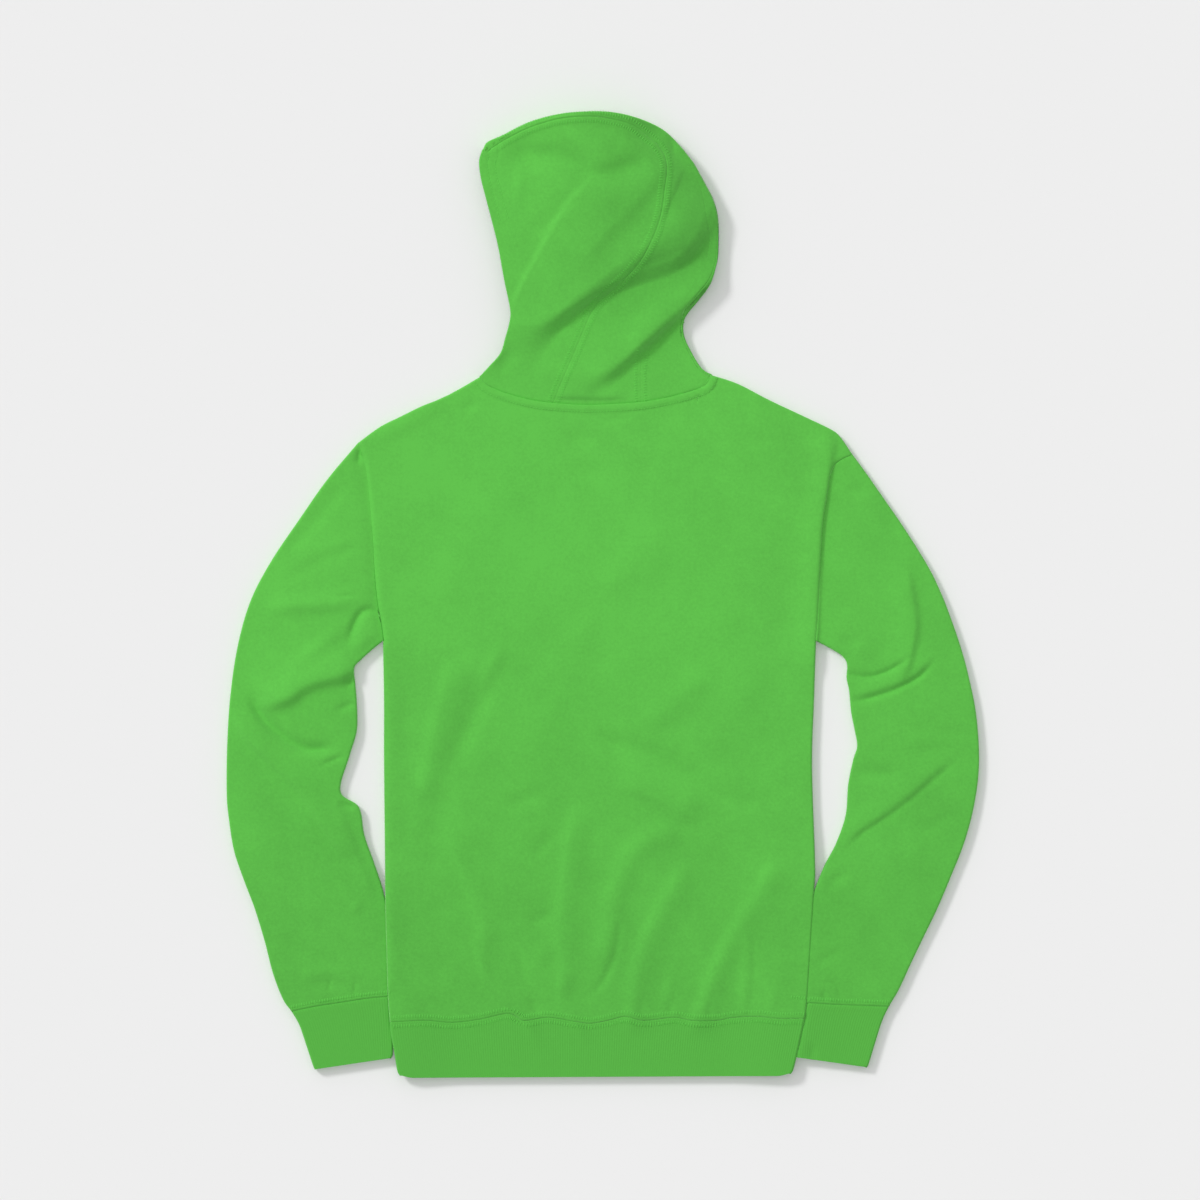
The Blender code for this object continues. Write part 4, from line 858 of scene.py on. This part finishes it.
def hood_left(finish, wall, cell):
    lines = outlines(wall)
    us, vs = (graded(size, FINE, cell) for size in HOOD_SIZES["left"])
    opening = along(lines["opening"], 0.004 + 0.985 * vs)
    top = along(curve(LEFT_SEAM_TOP), us)
    down = along(curve(LEFT_SEAM_DOWN), vs)
    top = top + SEAM * right_hand(top)
    down = down + SEAM * right_hand(down)
    neck = along(neck_parts()[0], us) - (0, 2 * SEAM)
    opening[0] = top[0] = top[0] + (0.3, 0.6)
    opening[-1] = neck[0] = neck[0] + (1.5, -0.6)
    top[-1] = down[0]
    down[-1] = neck[-1] = neck[-1] - (SEAM, 0)
    xy = patch(top, neck, opening, down, us, vs)
    rolled = [lines["crown"]]
    z = layer(xy, *hood_top(xy), 1, rolled, wall)
    turned = []
    for reach in np.linspace(HEM_TURN, 3, 8):
        point = xy[:, 0] + (reach, 0)
        under = layer(point, *hood_top(point), 1, rolled, wall) - 2 * HEM_ROLL - HEM_CLEAR
        turned.append(xyz(point, under))
    for angle in np.radians(np.linspace(168, 12, 9)):
        point = xy[:, 0] + (HEM_ROLL - HEM_ROLL * np.sin(angle), 0)
        turned.append(xyz(point, z[:, 0] - HEM_ROLL - HEM_ROLL * np.cos(angle)))
    mid = np.concatenate([np.stack(turned, 1), xyz(xy, z)[:, 1:]], 1)
    return shell("hood_left_cloth", mid, wall, finish)


def hood_center(finish, wall, cell):
    lines = outlines(wall)
    us, vs = (graded(size, FINE, cell) for size in HOOD_SIZES["center"])
    top = curve(LEFT_SEAM_TOP)
    down = curve(LEFT_SEAM_DOWN)
    seam = joined([top - SEAM * right_hand(top), down - SEAM * right_hand(down)], (0, SEAM_TURN, 1), vs)
    second = curve(RIGHT_SEAM)
    second = second + SEAM * right_hand(second)
    crown = lines["crown"]
    step = np.stack([crown[-1], second[0]])
    outer = joined([crown, step, second], (0, CROWN_END, SECOND_SEAM, 1), vs)
    neck = along(neck_parts()[1], us) - (0, 2 * SEAM)
    start = seam[0] + (outer[0] - seam[0]) * us[:, None]
    neck[0] = seam[-1] = neck[0] + (SEAM, 0)
    neck[-1] = outer[-1] = neck[-1] - (SEAM, 0)
    xy = patch(start, neck, seam, outer, us, vs)
    z = layer(xy, *hood_top(xy), 1, [lines["crown"]], wall)
    return shell("hood_center_cloth", xyz(xy, z), wall, finish, curls={"right": vs < CROWN_END})


def hood_right(finish, wall, cell):
    """Under layer of the hood, round its back edge and up to the right-hand seam."""
    lines = outlines(wall)
    crown, back = lines["crown"], lines["back"]
    us = graded(UNDER_SIZE[0], FINE, 2 * cell)
    vs = graded(UNDER_SIZE[1], FINE, cell)
    opening = along(lines["opening"], vs) + (3, 0)
    right = along(back, vs)
    right[-1] = lines["shoulder_right"][0] - (1.7, 1.3)
    crown_row = along(crown, us)
    neck = along(curve(NECK_FRONT), us)
    neck = neck - 1.5 * right_hand(neck)
    opening[0] = crown_row[0]
    neck[0] = opening[-1]
    crown_row[-1] = right[0]
    neck[-1] = right[-1]
    xy = patch(crown_row, neck, opening, right, us, vs)
    under = layer(xy, hood_top(xy)[0], 0, -1, [crown, back], wall)
    across = graded(OVER_WIDTH, FINE, cell)
    seam = along(curve(RIGHT_SEAM), vs)
    seam = seam - SEAM * right_hand(seam)
    back_neck = along(neck_parts()[2][::-1], across)
    wider = np.interp(across, *zip(*NECK_GAPS))[:, None]
    back_neck = back_neck + wider * right_hand(back_neck)
    back_neck[0] = right[-1]
    back_neck[-1] = seam[-1] = back_neck[-1] + (SEAM, 0)
    start = right[0] + (seam[0] - right[0]) * across[:, None]
    over = patch(start, back_neck, right, seam, across, vs)
    upper = layer(over, *hood_top(over), 1, [crown, back], wall)
    upper[:, 0] = under[:, -1] = (upper[:, 0] + under[:, -1]) / 2
    mid = np.concatenate([xyz(xy, under), xyz(over, upper)[:, 1:]], 1)
    curls = {"top": np.arange(mid.shape[1]) < len(us)}
    return shell("hood_right_cloth", mid, wall, finish, curls=curls, up=-1)


def ground(objects):
    """The tops of these pieces, for a needle to find from above."""
    return [BVHTree.FromPolygons([v.co for v in o.data.vertices], [p.vertices for p in o.data.polygons])
            for o in objects]


def found(trees, x, y):
    """Point and normal of the cloth under a place on the table."""
    start = Vector(((x - MID_X) * MM, (MID_Y - y) * MM, 1.0))
    hits = [tree.ray_cast(start, Vector((0, 0, -1))) for tree in trees]
    hits = [hit for hit in hits if hit[0] is not None]
    return max(hits, key=lambda hit: hit[0].z) if hits else (None, None, None, None)


def stitching(name, rows, trees, finish, ladder=0.0):
    """Rows of thread lying on the cloth: each stitch is a short bowed strand, sunk at both ends. A
    ladder has strands of that length across the row in place of strands along it."""
    points, faces = [], []
    ring = np.linspace(0, 2 * np.pi, THREAD_SIDES, endpoint=False)
    for line in rows:
        length = np.hypot(*np.diff(line, axis=0).T).sum()
        count = int(length / (LADDER_PITCH if ladder else STITCH_PITCH))
        ends = along(line, np.linspace(0, 1, count + 1))
        for a, b in zip(ends[:-1], ends[1:]):
            middle = (a + b) / 2
            low = found(trees, *middle)
            if low[0] is None:
                continue
            run = np.array([b[0] - a[0], a[1] - b[1], 0.0])
            if ladder:
                run = np.array([-run[1], run[0], 0.0])
            up = np.array(low[1])
            run -= up * (run @ up)
            run /= np.linalg.norm(run)
            side = np.cross(up, run)
            first = len(points)
            for share in np.linspace(-1, 1, THREAD_RINGS):
                thick = THREAD / 2 * np.sqrt(max(1 - abs(share) ** 3, 0.12))
                spot = np.array(low[0]) + run * share * (ladder or STITCH) / 2 * MM
                spot = spot + up * THREAD * MM * (0.2 - 0.7 * share * share)
                points.extend(spot + (side * c + up * s) * thick * MM
                              for c, s in zip(np.cos(ring), np.sin(ring)))
            last = len(points) - THREAD_SIDES
            for c in range(first, last, THREAD_SIDES):
                for j in range(THREAD_SIDES):
                    n = (j + 1) % THREAD_SIDES
                    faces.append((c + j, c + n, c + n + THREAD_SIDES, c + j + THREAD_SIDES))
            faces.append(tuple(range(first + THREAD_SIDES - 1, first - 1, -1)))
            faces.append(tuple(range(last, last + THREAD_SIDES)))
    obj = smooth_object(name, [tuple(p) for p in points], faces, finish)
    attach(obj, "root")


class Wire:
    """A shader socket that takes part in arithmetic; each operator adds its Math node."""

    def __init__(self, maker, socket):
        self.maker = maker
        self.socket = socket

    def math(self, operation, *values):
        return self.maker.node("ShaderNodeMath", dict(enumerate(values)), operation=operation)

    def __add__(self, other):
        return self.math("ADD", self, other)

    __radd__ = __add__

    def __mul__(self, other):
        return self.math("MULTIPLY", self, other)

    __rmul__ = __mul__

    def __sub__(self, other):
        return self.math("SUBTRACT", self, other)

    def __rsub__(self, other):
        return self.math("SUBTRACT", other, self)

    def sine(self):
        return self.math("SINE", self)


class Finish:
    """A material in the making: its shader, and one method that adds any other node."""

    def __init__(self, name):
        self.material = bpy.data.materials.new(name)
        self.material.use_nodes = True
        self.tree = self.material.node_tree
        self.shader = self.tree.nodes["Principled BSDF"]

    def node(self, kind, inputs=None, output=0, **settings):
        made = self.tree.nodes.new(kind)
        for key, value in settings.items():
            setattr(made, key, value)
        for key, value in (inputs or {}).items():
            self.feed(made.inputs[key], value)
        return Wire(self, made.outputs[output])

    def feed(self, socket, value):
        if isinstance(value, Wire):
            self.tree.links.new(value.socket, socket)
        else:
            socket.default_value = value

    def set(self, **values):
        """Shader inputs by name, underscores standing for spaces."""
        for key, value in values.items():
            self.feed(self.shader.inputs[key.replace("_", " ")], value)

    def place(self):
        return self.node("ShaderNodeTexCoord", output="Object")

    def noise(self, vector, scale, detail=2.0, rough=0.5):
        inputs = {"Vector": vector, "Scale": scale, "Detail": detail, "Roughness": rough}
        return self.node("ShaderNodeTexNoise", inputs)

    def ramp(self, value, start, end, low=0.0):
        """Low before the start, 1 beyond the end, and straight between."""
        return self.node("ShaderNodeMapRange", {0: value, 1: start, 2: end, 3: low, 4: 1.0})

    def tint(self, share, dark, light):
        """A colour between dark and light."""
        inputs = {"Factor": share, 6: dark, 7: light}
        return self.node("ShaderNodeMix", inputs, output=2, data_type="RGBA")

    def knit(self, colour, height, rough, sheen):
        """A matte knit of this colour and relief, with a fuzz that is as green as the yarn."""
        inputs = {"Height": height, "Distance": KNIT_DEPTH, "Strength": 0.5}
        self.set(Base_Color=colour, Normal=self.node("ShaderNodeBump", inputs), Roughness=rough,
                 Sheen_Weight=sheen, Sheen_Roughness=0.5, Sheen_Tint=FUZZ, Specular_IOR_Level=0.15)
        return self.material


def shaded(colour, by):
    return (*(c * by for c in colour[:3]), 1.0)


def fleece_with_painted_shade(colour):
    """Fleece face: a fine knit, a little fuzz, slightly uneven dye, and painted light and shade: lighter
    towards the top, darker towards the hem, and painted shade on the hood and the right shoulder.
    """
    cloth = Finish("fleece face with painted shade")
    place = cloth.place()
    cloudy = cloth.noise(place, 14.0, 3.0)
    mottled = cloth.noise(place, 45.0, 4.0, 0.7)
    heather = cloth.noise(place, 320.0, 3.0, 0.7)
    fuzz = cloth.noise(place, 1500.0, 2.0, 0.6)
    up = cloth.node("ShaderNodeSeparateXYZ", {0: place}, output=1)
    across = cloth.node("ShaderNodeSeparateXYZ", {0: place}, output=0)
    worn = (cloudy - 0.5) * 0.63 + (mottled - 0.5) * 0.7 + (heather - 0.5)
    # Painted light and shade: the cloth is lighter towards the top and darker towards the hem, as if the
    # light fell off downwards.
    painted_top_light = cloth.ramp(up, -0.42, 0.03) * 0.53 + 0.34
    # Painted shade: the hood is darker, most of all over its right-hand part.
    hood = cloth.ramp(up, 0.2, 0.34) * cloth.ramp(across, -0.06, 0.01, 0.2) * 0.58
    # Painted shade: darker towards the upper right of the garment, over the right shoulder and the top of
    # the right sleeve.
    shoulder = cloth.ramp(across, 0.0, 0.25) * cloth.ramp(up, -0.3, 0.05) * 0.19
    # The colour mixes the random mottling of the dye with the painted light and shade above.
    dye = cloth.tint(painted_top_light - hood - shoulder + worn, shaded(colour, 0.8), shaded(colour, 1.07))
    return cloth.knit(dye, heather * 0.6 + fuzz * 0.4, 0.92, 0.8)


def rib_finish(colour, pitch):
    """Fine rib: knitted wales that run across the band, on the same yarn."""
    cloth = Finish("fine rib")
    cut = cloth.node("ShaderNodeUVMap", output=0, uv_map="cut")
    across = cloth.node("ShaderNodeSeparateXYZ", {0: cut}, output=0)
    wales = (across * (2 * np.pi / pitch)).sine() * 0.5 + 0.5
    place = cloth.place()
    heather = cloth.noise(place, 420.0, 3.0, 0.7)
    share = 0.35 + wales * 0.2 + (heather - 0.5) * 0.8
    dye = cloth.tint(share, shaded(colour, 0.93), shaded(colour, 1.07))
    return cloth.knit(dye, wales * 0.7 + heather * 0.3, 0.9, 0.6)


def dressed(obj, node):
    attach(obj, "root")
    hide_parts(node)
    return obj


def thread_finish(colour):
    thread = Finish("thread")
    thread.set(Base_Color=shaded(colour, 1.15), Roughness=0.55, Specular_IOR_Level=0.3)
    return thread.material


class HoodieCloth(bpy.types.PropertyGroup):
    fleece: bpy.props.FloatProperty(
        name="Fleece wall", description="Thickness of the brushed fleece", default=2.5, min=1.0, max=4.0)
    rib: bpy.props.FloatProperty(
        name="Rib wall", description="Thickness of the doubled rib", default=3.0, min=1.0, max=4.0)
    cell: bpy.props.FloatProperty(
        name="Cell", description="Width of a cloth cell in the middle of a panel", default=3.2,
        min=1.5, max=8.0)
    colour: bpy.props.FloatVectorProperty(
        name="Fleece colour", description="Dye of the fleece", subtype="COLOR", size=4,
        default=(0.101, 0.474, 0.061, 1.0), min=0, max=1)
    rib_colour: bpy.props.FloatVectorProperty(
        name="Rib colour", description="Dye of the rib", subtype="COLOR", size=4,
        default=(0.088, 0.416, 0.053, 1.0), min=0, max=1)
    rib_pitch: bpy.props.FloatProperty(
        name="Rib pitch", description="From one wale of the rib to the next", default=0.0024,
        unit="LENGTH", precision=4)


class HoodieStage(bpy.types.PropertyGroup):
    floor: bpy.props.FloatVectorProperty(
        name="Floor colour", description="Paint of the floor", subtype="COLOR", size=4,
        default=(0.81, 0.81, 0.81, 1.0), min=0, max=1)
    sky: bpy.props.FloatProperty(
        name="Fill", description="Strength of the even light all round", default=0.42, min=0, max=4)
    sun: bpy.props.FloatProperty(
        name="Key", description="Strength of the key light", default=1.5, min=0, max=10)
    spread: bpy.props.FloatProperty(
        name="Key spread", description="Angle that the key light fills", subtype="ANGLE", default=0.2)
    top: bpy.props.FloatProperty(
        name="Overhead", description="Strength of the light from straight above", default=0.63,
        min=0, max=10)
    soft: bpy.props.FloatProperty(
        name="Softbox", description="Strength of the broad light", default=0.72, min=0, max=10)
    soft_spread: bpy.props.FloatProperty(
        name="Softbox spread", description="Angle that the broad light fills", subtype="ANGLE", default=1.7)
    field: bpy.props.FloatProperty(
        name="Field", description="Width of the floor that the camera sees", default=1.2, unit="LENGTH")


def material(name, make, *values):
    """The material of this name, made the first time it is asked for."""
    return bpy.data.materials.get(name) or make(*values)


def fleece():
    cloth = bpy.context.scene.hoodie_cloth
    return material("fleece face with painted shade", fleece_with_painted_shade, tuple(cloth.colour)), cloth.fleece, cloth.cell


def rib():
    cloth = bpy.context.scene.hoodie_cloth
    return material("fine rib", rib_finish, tuple(cloth.rib_colour), cloth.rib_pitch), cloth.rib, cloth.cell


class BodyPanels(bpy.types.Operator):
    """Back and front panels"""

    bl_idname = "hoodie.body_panels"
    bl_label = "Body panels"

    def execute(self, context):
        finish, wall, cell = fleece()
        front = body_panel("front_cloth", -1, finish, wall, FRONT_CELL * cell)
        dressed(front, "front")
        back = body_panel("back_cloth", 1, finish, wall, cell)
        dressed(back, "back")
        return {"FINISHED"}


class Sleeves(bpy.types.Operator):
    """The two sleeves, each a flattened tube"""

    bl_idname = "hoodie.sleeves"
    bl_label = "Sleeves"

    def execute(self, context):
        finish, wall, cell = fleece()
        for side, (rows, _, seam) in ARMS.items():
            piece = sleeve(f"sleeve_{side}_cloth", rows, side, seam, finish, wall, SLEEVE_CELL * cell)
            dressed(piece, "sleeve_" + side)
        return {"FINISHED"}


class Ribs(bpy.types.Operator):
    """Waistband and cuffs in rib"""

    bl_idname = "hoodie.ribs"
    bl_label = "Rib bands"

    def execute(self, context):
        finish, wall, cell = rib()
        dressed(waistband(finish, wall, cell), "waistband")
        for side, (_, rows, seam) in ARMS.items():
            piece = cuff(f"cuff_{side}_rib", rows, seam, finish, wall, cell)
            dressed(piece, "cuff_" + side)
        return {"FINISHED"}


class Hood(bpy.types.Operator):
    """The hood's left, centre and right panels"""

    bl_idname = "hoodie.hood"
    bl_label = "Hood"

    def execute(self, context):
        finish, wall, cell = fleece()
        cell *= HOOD_CELL
        dressed(hood_right(finish, wall, cell), "hood_right")
        dressed(hood_center(finish, wall, cell), "hood_center")
        dressed(hood_left(finish, wall, cell), "hood_left")
        return {"FINISHED"}


class Stitching(bpy.types.Operator):
    """Rows of topstitching along the seams"""

    bl_idname = "hoodie.stitching"
    bl_label = "Stitching"

    def execute(self, context):
        def beside(rows, by):
            line = curve(rows)
            return line + by * right_hand(line)

        thread = material("thread", thread_finish, tuple(context.scene.hoodie_cloth.colour))
        trees = ground([o for o in context.scene.objects if o.name.endswith(("_cloth", "_rib"))])
        if not trees:
            raise RuntimeError("there is no cloth to stitch yet")
        both = (-BESIDE, BESIDE)
        stitching("neck_stitching", [beside(NECK_BACK, NECK_BAND)], trees, thread)
        stitching("hem_stitching", [beside(HEM, by) for by in both], trees, thread, LADDER)
        hood = [beside(line, by) for line in HOOD_STITCHED for by in both]
        stitching("hood_stitching", hood, trees, thread, LADDER)
        stitching("opening_stitching", [beside(OPENING[:5], -by) for by in HEM_ROWS], trees, thread)
        cuffs = [beside(CUFF_SEAM_LEFT, -BESIDE), beside(CUFF_SEAM_RIGHT, BESIDE)]
        stitching("cuff_stitching", cuffs, trees, thread, LADDER)
        return {"FINISHED"}


class Studio(bpy.types.Operator):
    """Floor, light and camera"""

    bl_idname = "hoodie.studio"
    bl_label = "Studio"

    def execute(self, context):
        stage = context.scene.hoodie_stage
        scene = context.scene
        bpy.ops.object.select_all(action="DESELECT")
        bpy.ops.mesh.primitive_plane_add(size=FLOOR_SIZE, location=(0, 0, FLOOR_LEVEL))
        floor = context.object
        floor.name = "floor"
        paint = Finish("floor paint")
        paint.set(Base_Color=tuple(stage.floor), Roughness=0.9, Specular_IOR_Level=0.0)
        floor.data.materials.append(paint.material)
        world = bpy.data.worlds.new("studio")
        world.use_nodes = True
        fill = world.node_tree.nodes["Background"]
        fill.inputs["Color"].default_value = (1, 1, 1, 1)
        fill.inputs["Strength"].default_value = stage.sky
        scene.world = world
        lamps = (("key", stage.sun, stage.spread), ("softbox", stage.soft, stage.soft_spread),
                 ("overhead", stage.top, stage.spread))
        for name, strength, spread in lamps:
            lamp = bpy.data.lights.new(name, "SUN")
            lamp.energy = strength
            lamp.angle = spread
            holder = bpy.data.objects.new(name, lamp)
            holder.rotation_mode = "QUATERNION"
            holder.rotation_quaternion = Vector(LAMPS[name]).to_track_quat("-Z", "Y")
            scene.collection.objects.link(holder)
        eye = bpy.data.cameras.new("eye")
        eye.sensor_width = 36.0
        eye.lens = eye.sensor_width * CAMERA_HEIGHT / stage.field
        eye.clip_end = 100.0
        camera = bpy.data.objects.new("eye", eye)
        camera.location = ((TABLE_X - MID_X) * MM, (MID_Y - TABLE_Y) * MM, CAMERA_HEIGHT)
        scene.collection.objects.link(camera)
        scene.camera = camera
        scene.view_settings.view_transform = "Standard"
        return {"FINISHED"}


class HoodiePanel(bpy.types.Panel):
    """Sizes, colours and pieces of the hoodie"""

    bl_idname = "VIEW3D_PT_hoodie"
    bl_label = "Hoodie"
    bl_space_type = "VIEW_3D"
    bl_region_type = "UI"
    bl_category = "Hoodie"

    def draw(self, context):
        for group in (context.scene.hoodie_cloth, context.scene.hoodie_stage):
            box = self.layout.box()
            for key in group.__annotations__:
                box.prop(group, key)
        for step in STEPS:
            self.layout.operator(step.bl_idname)


STEPS = (BodyPanels, Sleeves, Ribs, Hood, Stitching, Studio)
GROUPS = {"hoodie_cloth": HoodieCloth, "hoodie_stage": HoodieStage}


def register():
    for made in (*GROUPS.values(), *STEPS, HoodiePanel):
        bpy.utils.register_class(made)
    for name, group in GROUPS.items():
        setattr(bpy.types.Scene, name, bpy.props.PointerProperty(type=group))


def unregister():
    for name in GROUPS:
        delattr(bpy.types.Scene, name)
    for made in (HoodiePanel, *STEPS, *GROUPS.values()):
        bpy.utils.unregister_class(made)


def main():
    register()
    for step in STEPS:
        group, call = step.bl_idname.split(".")
        getattr(getattr(bpy.ops, group), call)()


if __name__ == "__main__":
    main()
